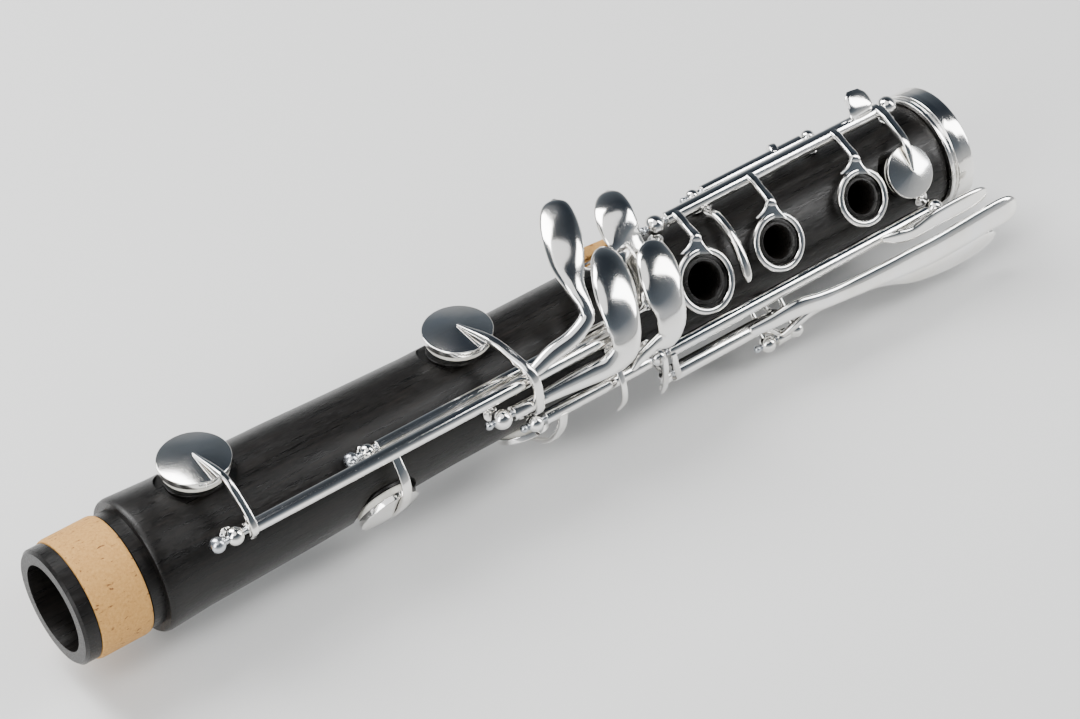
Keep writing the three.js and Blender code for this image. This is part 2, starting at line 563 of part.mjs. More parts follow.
// ---------------------------------------------------------------- posts, rods and springs
// A turned post: round foot on the wood, waisted stem and a ball drilled for the rod.
function makePost({ hinge, x, ball, footClock = hinge.clock }) {
  const head = hingePoint(hinge, x);
  const lean = Math.abs(radians(hinge.clock - footClock)) * 3;
  const foot = around(x, bodyRadius(x) + GAP + 2 * Math.sin(lean), footClock);
  const height = head.distanceTo(foot);
  const profile = [[0, 0], [FOOT_RADIUS, 0], [FOOT_RADIUS, FOOT_HEIGHT]];
  const hasStem = height - ball > 2 * FOOT_HEIGHT;
  if (hasStem) profile.push([STEM_RADIUS, 2 * FOOT_HEIGHT], [STEM_RADIUS, height - ball * 0.9]);
  const sunk = Math.asin(Math.max((FOOT_HEIGHT + 0.1 - height) / ball, -1));
  const lowest = hasStem ? -60 : Math.max(THREE.MathUtils.radToDeg(sunk), -60);
  for (let step = 0; step <= 6; step += 1) {
    const angle = THREE.MathUtils.lerp(lowest, 90, step / 6);
    profile.push([ball * Math.cos(radians(angle)), height + ball * Math.sin(radians(angle))]);
  }
  profile[profile.length - 1][0] = 0;
  const geometry = new THREE.LatheGeometry(profile.map(([r, h]) => new THREE.Vector2(r, h)), 12);
  const up = new THREE.Vector3().subVectors(head, foot).normalize();
  geometry.applyQuaternion(new THREE.Quaternion().setFromUnitVectors(new THREE.Vector3(0, 1, 0), up));
  geometry.translate(foot.x, foot.y, foot.z);
  return fromSolid(cut(toSolid(geometry), [hingeRod(hinge, TUBE_BORE, x - 4, x + 4)]));
}

const POSTS = {
  ring_post_lower: { hinge: HINGES.ring, x: -92.4, ball: 2.7 },
  ring_post_upper: { hinge: HINGES.ring, x: -15.6, ball: 2.6 },
  sliver_post_lower: { hinge: HINGES.sliver, x: -76.9, ball: 1.9 },
  sliver_post_upper: { hinge: HINGES.sliver, x: -38.7, ball: 2 },
  low_e_post_lower: { hinge: HINGES.lowE, x: -229.8, ball: 2.3 },
  low_e_post_upper: { hinge: HINGES.lowE, x: -118.6, ball: 2.1, footClock: -4 },
  low_f_post_lower: { hinge: HINGES.lowF, x: -155.9, ball: 2.6 },
  low_f_post_upper: { hinge: HINGES.lowF, x: -119.2, ball: 2.1 },
  f_sharp_post_lower: { hinge: HINGES.fSharp, x: -190.3, ball: 2 },
  f_sharp_post_upper: { hinge: HINGES.fSharp, x: -105.4, ball: 2 },
  a_flat_post_lower: { hinge: HINGES.aFlat, x: -146.9, ball: 2.2 },
  left_hand_post_middle: { hinge: HINGES.aFlat, x: -109.2, ball: 2.2 },
  left_hand_post_upper: { hinge: HINGES.aFlat, x: -17.8, ball: 2.4 },
  lever_e_post_lower: { hinge: HINGES.leverE, x: -106.6, ball: 1.8 },
  lever_e_post_upper: { hinge: HINGES.leverE, x: -71.3, ball: 2.2 },
  lever_f_post_lower: { hinge: HINGES.leverF, x: -72.4, ball: 2.3 },
  lever_f_post_upper: { hinge: HINGES.leverF, x: -63.2, ball: 2.3 },
};

// Steel rod from just outside one post to just outside the other, with a slotted domed head.
function makeRod(hinge, x0, x1, headRadius) {
  const centre = hingePoint(hinge, 0);
  const pieces = [hingeRod(hinge, ROD_RADIUS, x0, x1)];
  const dome = new THREE.SphereGeometry(headRadius, 12, 8);
  dome.rotateZ(Math.PI / 2);
  dome.translate(x0 - headRadius * 0.4, centre.y, centre.z);
  pieces.push(dome);
  return fromSolid(join(pieces));
}

const RODS = {
  ring_rod: { hinge: HINGES.ring, x0: -95.8, x1: -13.6, head: 1.1 },
  sliver_rod: { hinge: HINGES.sliver, x0: -79.4, x1: -37, head: 1 },
  low_e_rod: { hinge: HINGES.lowE, x0: -233.6, x1: -117, head: 2 },
  low_f_rod: { hinge: HINGES.lowF, x0: -159.2, x1: -117.4, head: 1.1 },
  f_sharp_rod: { hinge: HINGES.fSharp, x0: -194, x1: -103.8, head: 1.9 },
  a_flat_rod: { hinge: HINGES.aFlat, x0: -149.8, x1: -109.5, head: 1 },
  left_hand_rod: { hinge: HINGES.aFlat, x0: -107.4, x1: -15.8, head: 0.8 },
  lever_e_rod: { hinge: HINGES.leverE, x0: -107.2, x1: -69.6, head: 0.7 },
  lever_f_rod: { hinge: HINGES.leverF, x0: -75.3, x1: -61.6, head: 1 },
};

// Needle springs: thin blued wires that lie between a tube and the wood.
const SPRINGS = {
  ring_spring: { hinge: HINGES.ring, x0: -58, x1: -40 },
  low_e_spring: { hinge: HINGES.lowE, x0: -215, x1: -196 },
  low_f_spring: { hinge: HINGES.lowF, x0: -143, x1: -127 },
  f_sharp_spring: { hinge: HINGES.aFlat, x0: -100, x1: -84 },
};

function makeSpring({ hinge, x0, x1 }) {
  const tube = hingePoint(hinge, 0);
  return rod(SPRING_RADIUS, x0, x1, tube.y + SPRING_OFFSET.y, tube.z + SPRING_OFFSET.z, 6);
}

// Sheet of cork on top of the crow's foot.
function makeCrowsFootCork() {
  const lift = CROWS_FOOT_HALF + GAP / 2 + CROWS_FOOT_CORK / 2;
  return sweep(CROWS_FOOT.map(([x, y, z, w]) => {
    const out = new THREE.Vector3(0, y, z).normalize();
    const down = new THREE.Vector3(0, out.z, -out.y);
    const p = new THREE.Vector3(x, y, z).addScaledVector(out, lift).addScaledVector(down, 0.9);
    return { p, w: w - 1, h: CROWS_FOOT_CORK / 2 };
  }), { sides: 6, squareness: 0.5 });
}

// ---------------------------------------------------------------- thumb rest
const THUMB_X = -52;
const THUMB_PLATE = { length: 30, width: 11, thickness: 1.6 };

function makeThumbRest() {
  const back = -(MID_RADIUS + GAP + THUMB_PLATE.thickness / 2);
  const plate = new THREE.BoxGeometry(THUMB_PLATE.length, THUMB_PLATE.width, THUMB_PLATE.thickness);
  plate.translate(THUMB_X, 0, back);
  const hook = sweep(stations([
    [THUMB_X + 8, 0, back - 0.3, 5, 0.7], [THUMB_X + 9.5, 0, back - 5, 5.3, 0.9],
    [THUMB_X + 10, 0, back - 10, 5.6, 0.9], [THUMB_X + 8.6, 0, back - 15.2, 5.3, 0.9],
  ], 8), { normal: ALONG_X, squareness: 0.5 });
  const holes = [-10, 1].map((offset) => {
    const hole = new THREE.CylinderGeometry(1.5, 1.5, 6, 10);
    return hole.rotateX(Math.PI / 2).translate(THUMB_X + offset, 0, back);
  });
  return fromSolid(cut(join([plate, hook]), holes));
}

function makeThumbScrew(offset) {
  const seat = -(MID_RADIUS + GAP + THUMB_PLATE.thickness);
  const profile = [[0, 0.2], [1.1, 0.2], [1.1, -1.8], [2.1, -1.8], [1.6, -2.7], [0, -2.9]]
    .map(([r, h]) => new THREE.Vector2(r, h)).reverse();
  const screw = new THREE.LatheGeometry(profile, 10);
  screw.rotateX(Math.PI / 2);
  return screw.translate(THUMB_X + offset, 0, seat + THUMB_PLATE.thickness - 0.25);
}

// ---------------------------------------------------------------- assembly
addNode('joint_body', makeBody(), GRENADILLA);
addNode('socket_ring', makeSocketRing(), SILVER);
addNode('tenon_cork', makeTenonCork(), CORK);

const KEYS = {
  ring_key: makeRingKey, sliver_key: makeSliverKey, low_e_key: makeLowEKey, low_f_key: makeLowFKey,
  f_sharp_key: makeFSharpKey, a_flat_key: makeAFlatKey, left_lever_e: makeLeverE,
  left_lever_f_sharp: makeLeverFSharp, left_lever_f: makeLeverF,
};
Object.entries(KEYS).forEach(([name, make]) => addNode(name, make(), SILVER));

const PADS = {
  ring_pad: 'ring', sliver_pad: 'sliver', low_e_pad: 'lowE', low_f_pad: 'lowF',
  f_sharp_pad: 'fSharp', a_flat_pad: 'aFlat',
};
Object.entries(PADS).forEach(([name, key]) => addNode(name, makePad(CUPS[key], HINGES[key]), PAD_SKIN));

Object.entries(POSTS).forEach(([name, post]) => addNode(name, makePost(post), SILVER));
Object.entries(RODS).forEach(([name, { hinge, x0, x1, head }]) => {
  addNode(name, makeRod(hinge, x0, x1, head), STEEL);
});
Object.entries(SPRINGS).forEach(([name, spring]) => addNode(name, makeSpring(spring), BLUED_STEEL));

addNode('crows_foot_cork', makeCrowsFootCork(), CORK);
addNode('thumb_rest', makeThumbRest(), SILVER);
addNode('thumb_rest_screw_lower', makeThumbScrew(-10), SILVER);
addNode('thumb_rest_screw_upper', makeThumbScrew(1), SILVER);

const group = new THREE.Group();
group.add(joint);

export default group;
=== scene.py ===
"""Looks of the clarinet lower joint: every CAD node is replaced by a detailed piece.

Shapes are written in millimetres in playing coordinates (x along the bore, y towards the
player's right, z towards the finger holes) and rolled into the row frame when they are made.
"""
import math

import bmesh
import bpy
from mathutils import Euler, Matrix, Vector


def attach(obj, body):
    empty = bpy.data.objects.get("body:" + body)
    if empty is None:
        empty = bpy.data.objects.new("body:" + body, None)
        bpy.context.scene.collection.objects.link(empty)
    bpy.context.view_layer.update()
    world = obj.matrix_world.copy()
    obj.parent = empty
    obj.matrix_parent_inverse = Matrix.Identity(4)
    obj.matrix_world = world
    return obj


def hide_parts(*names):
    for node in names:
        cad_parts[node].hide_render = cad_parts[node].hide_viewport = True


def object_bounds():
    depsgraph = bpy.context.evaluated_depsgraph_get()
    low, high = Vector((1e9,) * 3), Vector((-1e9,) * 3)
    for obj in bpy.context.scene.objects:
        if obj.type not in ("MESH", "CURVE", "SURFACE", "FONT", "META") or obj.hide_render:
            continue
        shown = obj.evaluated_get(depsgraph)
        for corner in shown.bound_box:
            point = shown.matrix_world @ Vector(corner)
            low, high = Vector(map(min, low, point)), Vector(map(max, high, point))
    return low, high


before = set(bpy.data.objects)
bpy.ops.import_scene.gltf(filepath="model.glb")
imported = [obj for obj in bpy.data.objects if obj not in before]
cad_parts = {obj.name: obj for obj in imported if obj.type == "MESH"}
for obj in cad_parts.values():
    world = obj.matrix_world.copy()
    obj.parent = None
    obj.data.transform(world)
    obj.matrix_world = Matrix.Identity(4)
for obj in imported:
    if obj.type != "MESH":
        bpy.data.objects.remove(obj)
CAD_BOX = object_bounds()

# ------------------------------------------------------------------ shared dimensions (mm)
REST_ROLL = 52.4
ROLL = Matrix.Rotation(math.radians(REST_ROLL), 3, "X")
MM = 0.001
ROOT = "lower_joint"
SHARP_ANGLE = math.radians(38)
ALONG = (1, 0, 0)
ON_AXIS = 0.01

TENON_END_X = -269
SHOULDER_X = -248
TENON_RADIUS = 14.6
CORK_SEAT_RADIUS = 13.9
CORK_RADIUS = 15.15
CORK_FRONT_X = -264.9
CORK_REAR_X = -251.5
BORE_RADIUS = 7.35
BELL_END_BORE_RADIUS = 11
SOCKET_RADIUS = 11.4
SOCKET_DEPTH = 20.5
RING_HEIGHT = 7.6
RING_RADIUS = 16.5
RING_SEAT_RADIUS = 14.7
RING_CLEARANCE = 0.25
ROD_RADIUS = 0.9
MOUNT_GAP = 0.3
CUP_WALL = 0.45
CUP_CONE = 1.1
CUP_ROOF = 0.9
PAD_CLEARANCE = 0.12

# How round each kind of turned piece is made.
JOINT_SEGMENTS = 144
BAND_SEGMENTS = 160
CUP_SEGMENTS = 96
PAD_SEGMENTS = 80
POST_SEGMENTS = 48
TUBE_SEGMENTS = 40
WIRE_SEGMENTS = 20

# Outside of the wood above the tenon: position, radius.
MIDDLE_RADIUS = 14.4
BODY_OUTLINE = [
    (SHOULDER_X, 16.5), (-247.6, 16.8), (-246.6, 17.0), (-236, 16.4), (-204, 15.7), (-186, 15.0),
    (-165, MIDDLE_RADIUS), (-90, MIDDLE_RADIUS), (-30, 14.5), (-8, RING_SEAT_RADIUS),
]
# Where cutters and added solids begin and end, as distances from the bore line.
DRILL_START = 4
WALL_START = 9.5
CUT_END = 22
# Longest straight run of the outline, outside and in the bore.
OUTLINE_STEP = 3
BORE_STEP = 4

# Hinge lines: distance from the bore, clock angle from the finger holes, tube radius.
HINGES = {
    "ring": (19.3, 60.5, 1.9),
    "sliver": (18.8, 73.8, 1.6),
    "lowE": (21, -0.2, 1.8),
    "lowF": (20, -17.2, 1.9),
    "fSharp": (17.3, 6.5, 1.5),
    "aFlat": (20, -34.2, 1.8),
    "leverF": (25.2, -77, 1.8),
    "leverE": (21.3, -57, 2.2),
}

# Finger holes: position, hole radius, inside radius of the key ring.
FINGER_HOLES = [(-88.8, 4.6, 6.7), (-65, 4.1, 5.9), (-37, 4.1, 5.9)]
KEY_RING_WIDTH = 1.75
KEY_RING_HEIGHT = 1.4
KEY_RING_TOP = 17.4
CHIMNEY_TOP = 16.2
CHIMNEY_CLEARANCE = 0.75

# Pad cups: position, clock, radius, cup height, pad height, degrees open at rest.
CUPS = {
    "lowE": (-227.7, 63, 8.8, 1.8, 1.7, 8.5),
    "lowF": (-153.7, 64, 8.7, 1.8, 1.7, 9),
    "ring": (-21.4, -1, 6.9, 1.5, 1.5, -4.5),
    "fSharp": (-186.6, -64, 8, 1.8, 1.7, 0),
    "aFlat": (-142, -95, 7, 1.7, 1.6, 0),
    "sliver": (-47, 100, 4.8, 1.5, 1.3, 0),
}
SEAT_DROP = 1.1
SEAT_LIP = 1.6
SPOT_FACE_DEPTH = 0.8
SPOT_FACE_MARGIN = 0.9
PAD_GAP = 0.15

# Crow's foot plate: x, y, z, half width. The cork sheet lies on its outer face.
CROWS_FOOT = [(-122.4, 18.2, 11.8, 2.2), (-115.4, 17.6, 10.6, 3.2), (-105, 17.2, 8.3, 2.2)]
CROWS_FOOT_HALF = 0.5
CROWS_FOOT_CORK = 0.7
CORK_GLUE_GAP = 0.15
CORK_SHIFT = 0.9

# Directions that the left-hand touches face.
LEVER_FACE = (0, -0.34, 0.94)
SIDE_FACE = (0, -0.66, 0.75)


# ------------------------------------------------------------------ materials
def new_material(name):
    """A node material, its tree and its shader."""
    material = bpy.data.materials.new(name)
    material.use_nodes = True
    tree = material.node_tree
    shader = tree.nodes["Principled BSDF"]
    return material, tree, shader


def add_node(tree, kind, **settings):
    """A new node. A setting goes on its input of that name, or else on its property."""
    node = tree.nodes.new(kind)
    for key, value in settings.items():
        if key in node.inputs:
            node.inputs[key].default_value = value
        else:
            setattr(node, key, value)
    return node


def object_coordinates(tree, stretch):
    """Object coordinates in millimetres, stretched by three factors."""
    source = tree.nodes.new("ShaderNodeTexCoord")
    mapping = tree.nodes.new("ShaderNodeMapping")
    mapping.inputs["Scale"].default_value = [factor / MM for factor in stretch]
    tree.links.new(source.outputs["Object"], mapping.inputs["Vector"])
    return mapping.outputs["Vector"]


def noise(tree, vector, scale, detail=4, roughness=0.55):
    """Noise value over the given coordinates."""
    node = add_node(tree, "ShaderNodeTexNoise", Scale=scale, Detail=detail, Roughness=roughness)
    tree.links.new(vector, node.inputs["Vector"])
    return node.outputs["Fac"]


def ramp(tree, value, stops):
    """Colour picked by a value from stops of (position, colour)."""
    node = tree.nodes.new("ShaderNodeValToRGB")
    elements = node.color_ramp.elements
    while len(elements) < len(stops):
        elements.new(0.5)
    for element, (position, color) in zip(elements, stops):
        element.position = position
        element.color = (*color, 1)
    tree.links.new(value, node.inputs["Fac"])
    return node.outputs["Color"]


def map_range(tree, value, low, high, new_low, new_high):
    """The value stretched from one range to another."""
    node = add_node(tree, "ShaderNodeMapRange")
    node.inputs["From Min"].default_value = low
    node.inputs["From Max"].default_value = high
    node.inputs["To Min"].default_value = new_low
    node.inputs["To Max"].default_value = new_high
    tree.links.new(value, node.inputs["Value"])
    return node.outputs["Result"]


def bump(tree, shader, height, strength, distance):
    """Surface relief from a height, with its distance in metres."""
    node = add_node(tree, "ShaderNodeBump", Strength=strength, Distance=distance)
    tree.links.new(height, node.inputs["Height"])
    tree.links.new(node.outputs["Normal"], shader.inputs["Normal"])


def silver_plate(name, bright=0.9, rough=(0.07, 0.17)):
    """Polished silver plate with faint tarnish, fine polishing marks and soft waviness."""
    material, tree, shader = new_material(name)
    shader.inputs["Metallic"].default_value = 1
    cloud = noise(tree, object_coordinates(tree, (1, 1, 1)), scale=0.12, detail=3)
    color = ramp(tree, cloud, [
        (0.3, (bright * 0.93, bright * 0.91, bright * 0.86)),
        (0.55, (bright, bright * 0.985, bright * 0.96)),
        (0.8, (bright * 0.97, bright * 0.98, bright)),
    ])
    tree.links.new(color, shader.inputs["Base Color"])
    marks = noise(tree, object_coordinates(tree, (0.6, 7, 7)), scale=2.4, detail=5, roughness=0.7)
    tree.links.new(map_range(tree, marks, 0.3, 0.7, *rough), shader.inputs["Roughness"])
    waves = noise(tree, object_coordinates(tree, (1, 1, 1)), scale=0.5, detail=2)
    bump(tree, shader, waves, strength=0.08, distance=0.00012)
    return material


def steel(name, color, rough):
    """Turned steel: fine rings across the rod."""
    material, tree, shader = new_material(name)
    shader.inputs["Metallic"].default_value = 1
    shader.inputs["Base Color"].default_value = (*color, 1)
    rings = noise(tree, object_coordinates(tree, (9, 0.4, 0.4)), scale=1.5, detail=3)
    gloss = map_range(tree, rings, 0.3, 0.7, rough * 0.7, rough * 1.3)
    tree.links.new(gloss, shader.inputs["Roughness"])
    bump(tree, shader, rings, strength=0.15, distance=0.00005)
    return material


def grenadilla(name):
    """Oiled black hardwood: long grain streaks, short pores and a satin sheen."""
    material, tree, shader = new_material(name)
    grain = object_coordinates(tree, (0.06, 1.6, 1.6))
    streaks = noise(tree, grain, scale=1.1, detail=8, roughness=0.62)
    color = ramp(tree, streaks, [
        (0.3, (0.0022, 0.002, 0.0019)), (0.52, (0.0042, 0.0036, 0.0032)),
        (0.66, (0.008, 0.006, 0.0048)), (0.8, (0.0155, 0.01, 0.0072)),
    ])
    tree.links.new(color, shader.inputs["Base Color"])
    tree.links.new(map_range(tree, streaks, 0.3, 0.75, 0.24, 0.4), shader.inputs["Roughness"])
    pores = noise(tree, object_coordinates(tree, (0.22, 5, 5)), scale=1.4, detail=3, roughness=0.7)
    bump(tree, shader, map_range(tree, pores, 0.3, 0.5, 0, 1), strength=0.35, distance=0.00006)
    shader.inputs["Specular IOR Level"].default_value = 0.27
    return material


# Places of the colour sockets on Blender's Mix node.
MIX_COLOR_A = 6
MIX_COLOR_B = 7
MIX_COLOR_RESULT = 2


def natural_cork(name):
    """Sanded cork: golden tan body, mottled cells, dark lenticel pits."""
    material, tree, shader = new_material(name)
    cells = noise(tree, object_coordinates(tree, (1, 1, 1)), scale=1.6, detail=6, roughness=0.7)
    base = ramp(tree, cells, [
        (0.25, (0.34, 0.165, 0.045)), (0.45, (0.49, 0.255, 0.07)), (0.7, (0.59, 0.335, 0.1)),
    ])
    pits = noise(tree, object_coordinates(tree, (0.55, 1.4, 1.4)), scale=0.85, detail=3, roughness=0.6)
    mask = map_range(tree, pits, 0.62, 0.68, 0, 1)
    mix = add_node(tree, "ShaderNodeMix", data_type="RGBA")
    tree.links.new(mask, mix.inputs["Factor"])
    tree.links.new(base, mix.inputs[MIX_COLOR_A])
    mix.inputs[MIX_COLOR_B].default_value = (0.17, 0.065, 0.02, 1)
    tree.links.new(mix.outputs[MIX_COLOR_RESULT], shader.inputs["Base Color"])
    shader.inputs["Roughness"].default_value = 0.86
    heights = add_node(tree, "ShaderNodeMath", operation="SUBTRACT")
    tree.links.new(cells, heights.inputs[0])
    tree.links.new(mask, heights.inputs[1])
    bump(tree, shader, heights.outputs["Value"], strength=0.5, distance=0.0002)
    return material


def pad_skin(name):
    """Pale pad membrane with a faint wrinkle."""
    material, tree, shader = new_material(name)
    wrinkles = noise(tree, object_coordinates(tree, (1, 1, 1)), scale=1.2, detail=5)
    color = ramp(tree, wrinkles, [(0.3, (0.74, 0.71, 0.62)), (0.7, (0.86, 0.84, 0.78))])
    tree.links.new(color, shader.inputs["Base Color"])
    shader.inputs["Roughness"].default_value = 0.55
    bump(tree, shader, wrinkles, strength=0.25, distance=0.0001)
    return material


def matte_floor(name):
    """Plain pale floor paper. It is staging, not part of the object."""
    material, tree, shader = new_material(name)
    shader.inputs["Base Color"].default_value = (0.72, 0.72, 0.71, 1)
    shader.inputs["Roughness"].default_value = 0.55
    return material


SILVER = silver_plate("silver_plate")
STEEL = steel("turned_steel", (0.52, 0.54, 0.57), 0.24)
BLUED = steel("blued_steel", (0.035, 0.05, 0.09), 0.34)
WOOD = grenadilla("grenadilla")
CORK = natural_cork("natural_cork")
PAD = pad_skin("pad_skin")


# ------------------------------------------------------------------ geometry helpers
class Shape:
    """Vertices in playing millimetres, and faces."""

    def __init__(self):
        self.points = []
        self.faces = []

    def add(self, points, faces):
        start = len(self.points)
        self.points.extend(Vector(point) for point in points)
        self.faces.extend([start + index for index in face] for face in faces)
        return self

    def merge(self, other):
        return self.add(other.points, other.faces)

    def moved(self, matrix):
        return Shape().add([matrix @ point for point in self.points], self.faces)


def around(x, reach, clock):
    """Point at a distance from the bore, at a clock angle from the finger holes."""
    angle = math.radians(clock)
    return Vector((x, reach * math.sin(angle), reach * math.cos(angle)))


def lerp(a, b, t):
    return a + (b - a) * t


def body_radius(x):
    """Outside radius of the wood."""
    for (x0, r0), (x1, r1) in zip(BODY_OUTLINE, BODY_OUTLINE[1:]):
        if x <= x1:
            return lerp(r0, r1, max(0, (x - x0) / (x1 - x0)))
    return BODY_OUTLINE[-1][1]


def pivot(hinge, x=0):
    """Point on a hinge line."""
    reach, clock, _ = HINGES[hinge]
    return around(x, reach, clock)


def about(hinge, degrees):
    """Matrix that turns a shape about a hinge line."""
    centre = pivot(hinge)
    turn = Matrix.Rotation(math.radians(degrees), 4, "X")
    return Matrix.Translation(centre) @ turn @ Matrix.Translation(-centre)


ROUNDING_SHARE = 0.45
SMALLEST_RADIUS = 1e-4
SMALLEST_HALF = 0.05
SWEEP_LOOKAHEAD = 0.01
WELD_DISTANCE = 2e-6
TUBE_END_ROUNDING = 0.25


def rounded(profile, radius, steps=4):
    """The same open profile with its corners rounded, by less than half of each side."""
    points = [Vector(point) for point in profile]
    out = [points[0]]
    for before, corner, after in zip(points, points[1:], points[2:]):
        back = before - corner
        ahead = after - corner
        reach = min(radius, back.length * ROUNDING_SHARE, ahead.length * ROUNDING_SHARE)
        start = corner + back.normalized() * reach
        end = corner + ahead.normalized() * reach
        for step in range(steps + 1):
            t = step / steps
            out.append(start * (1 - t) ** 2 + corner * 2 * t * (1 - t) + end * t ** 2)
    out.append(points[-1])
    return [tuple(point) for point in out]


def lathe(profile, centre, axis, segments=64, closed=False):
    """Solid of revolution. profile rows are (radius, height) along axis from centre."""
    axis = Vector(axis).normalized()
    side = axis.orthogonal().normalized()
    other = axis.cross(side)
    points = []
    for radius, height in profile:
        for step in range(segments):
            angle = 2 * math.pi * step / segments
            arm = side * math.cos(angle) + other * math.sin(angle)
            points.append(Vector(centre) + axis * height + arm * max(radius, SMALLEST_RADIUS))
    faces = []
    rows = len(profile)
    for row in range(rows if closed else rows - 1):
        above = (row + 1) % rows
        for step in range(segments):
            after = (step + 1) % segments
            faces.append((row * segments + step, row * segments + after,
                          above * segments + after, above * segments + step))
    if not closed:
        faces.append(tuple(reversed(range(segments))))
        faces.append(tuple((rows - 1) * segments + step for step in range(segments)))
    return Shape().add(points, faces)


def radial(profile, x, clock, segments=64, closed=False):
    """Solid of revolution on a line out from the bore. Heights are distances from the bore."""
    return lathe(profile, (x, 0, 0), around(0, 1, clock), segments, closed)


def catmull(values, t):
    """Point at t in 0..1 on a smooth curve through the values."""
    last = len(values) - 1
    place = min(t, 1) * last
    index = min(int(place), last - 1)
    local = place - index
    p1 = values[index]
    p2 = values[index + 1]
    p0 = values[index - 1] if index > 0 else p1 * 2 - p2
    p3 = values[index + 2] if index + 2 <= last else p2 * 2 - p1
    return (p1 * 2 + (p2 - p0) * local + (p0 * 2 - p1 * 5 + p2 * 4 - p3) * local ** 2
            + (p1 * 3 - p0 - p2 * 3 + p3) * local ** 3) * 0.5


def sweep(rows, steps=48, sides=28, squareness=1.0, normal=None, belly=1.0):
    """Loft through rows of (x, y, z, half width, half height).

    The height runs along the normal, which points away from the bore unless given.
    squareness below 1 squares the section off. belly scales its lower half.
    """
    path = [Vector(row[:3]) for row in rows]
    sizes = [Vector((row[3], row[4], 0)) for row in rows]
    points = []
    for step in range(steps + 1):
        t = step / steps
        here = catmull(path, t)
        ahead = catmull(path, min(t + SWEEP_LOOKAHEAD, 1))
        behind = catmull(path, max(t - SWEEP_LOOKAHEAD, 0))
        along = (ahead - behind).normalized()
        high = Vector(normal) if normal else Vector((0, here.y, here.z)).normalized()
        high = (high - along * high.dot(along)).normalized()
        wide = high.cross(along).normalized()
        size = catmull(sizes, t)
        wide_half = max(size.x, SMALLEST_HALF)
        high_half = max(size.y, SMALLEST_HALF)
        for side in range(sides):
            angle = 2 * math.pi * side / sides
            across = math.copysign(abs(math.cos(angle)) ** squareness, math.cos(angle))
            upward = math.copysign(abs(math.sin(angle)) ** squareness, math.sin(angle))
            upward *= belly if upward < 0 else 1
            points.append(here + wide * across * wide_half + high * upward * high_half)
    faces = []
    for ring in range(steps):
        for side in range(sides):
            after = (side + 1) % sides
            faces.append((ring * sides + side, (ring + 1) * sides + side,
                          (ring + 1) * sides + after, ring * sides + after))
    faces.append(tuple(range(sides)))
    faces.append(tuple(reversed([steps * sides + side for side in range(sides)])))
    return Shape().add(points, faces)


def tube(hinge, x0, x1):
    """A straight tube on a hinge line, with softened ends."""
    size = HINGES[hinge][2]
    profile = rounded([(ON_AXIS, x0), (size, x0), (size, x1), (ON_AXIS, x1)], TUBE_END_ROUNDING)
    return lathe(profile, pivot(hinge), ALONG, TUBE_SEGMENTS)


def make_object(name, shape, material):
    """A mesh object in metres, rolled from playing coordinates into the row frame."""
    mesh = bpy.data.meshes.new(name)
    mesh.from_pydata([ROLL @ point * MM for point in shape.points], [], shape.faces)
    obj = bpy.data.objects.new(name, mesh)
    bpy.context.scene.collection.objects.link(obj)
    mesh.materials.append(material)
    soften(mesh)
    return obj


def soften(mesh):
    """Smooth shading with sharp edges kept sharp."""
    work = bmesh.new()
    work.from_mesh(mesh)
    bmesh.ops.remove_doubles(work, verts=work.verts, dist=WELD_DISTANCE)
    bmesh.ops.recalc_face_normals(work, faces=work.faces)
    for face in work.faces:
        face.smooth = True
    for edge in work.edges:
        edge.smooth = len(edge.link_faces) == 2 and edge.calc_face_angle(0) < SHARP_ANGLE
    work.to_mesh(mesh)
    work.free()


def piece(name, shapes, material, body, nodes):
    """One visible piece: made, placed on its body, and standing for its CAD nodes."""
    whole = Shape()
    for shape in shapes:
        whole.merge(shape)
    register(make_object(name, whole, material), body, nodes)


def register(obj, body, nodes):
    """Hides the CAD nodes that a piece stands for and puts it on the body it rides on."""
    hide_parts(*nodes)
    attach(obj, body)


def boolean(obj, shape, operation):
    """Joins or cuts a shape into a mesh object."""
    tool = make_object("tool", shape, WOOD)
    change = obj.modifiers.new("change", "BOOLEAN")
    change.operation = operation
    change.solver = "EXACT"
    change.object = tool
    depsgraph = bpy.context.evaluated_depsgraph_get()
    result = bpy.data.meshes.new_from_object(obj.evaluated_get(depsgraph))
    obj.modifiers.clear()
    old = obj.data
    obj.data = result
    bpy.data.meshes.remove(old)
    bpy.data.objects.remove(tool)


# ------------------------------------------------------------------ body, ring and cork
def seat_height(cup):
    """Distance of a pad seat from the bore line."""
    return body_radius(CUPS[cup][0]) - SEAT_DROP


def fine(outline, step):
    """The outline with extra points, so that no straight run is longer than step."""
    out = []
    for (x0, r0), (x1, r1) in zip(outline, outline[1:]):
        count = max(1, round(math.dist((x0, r0), (x1, r1)) / step))
        out.extend((lerp(x0, x1, i / count), lerp(r0, r1, i / count)) for i in range(count))
    out.append(outline[-1])
    return out


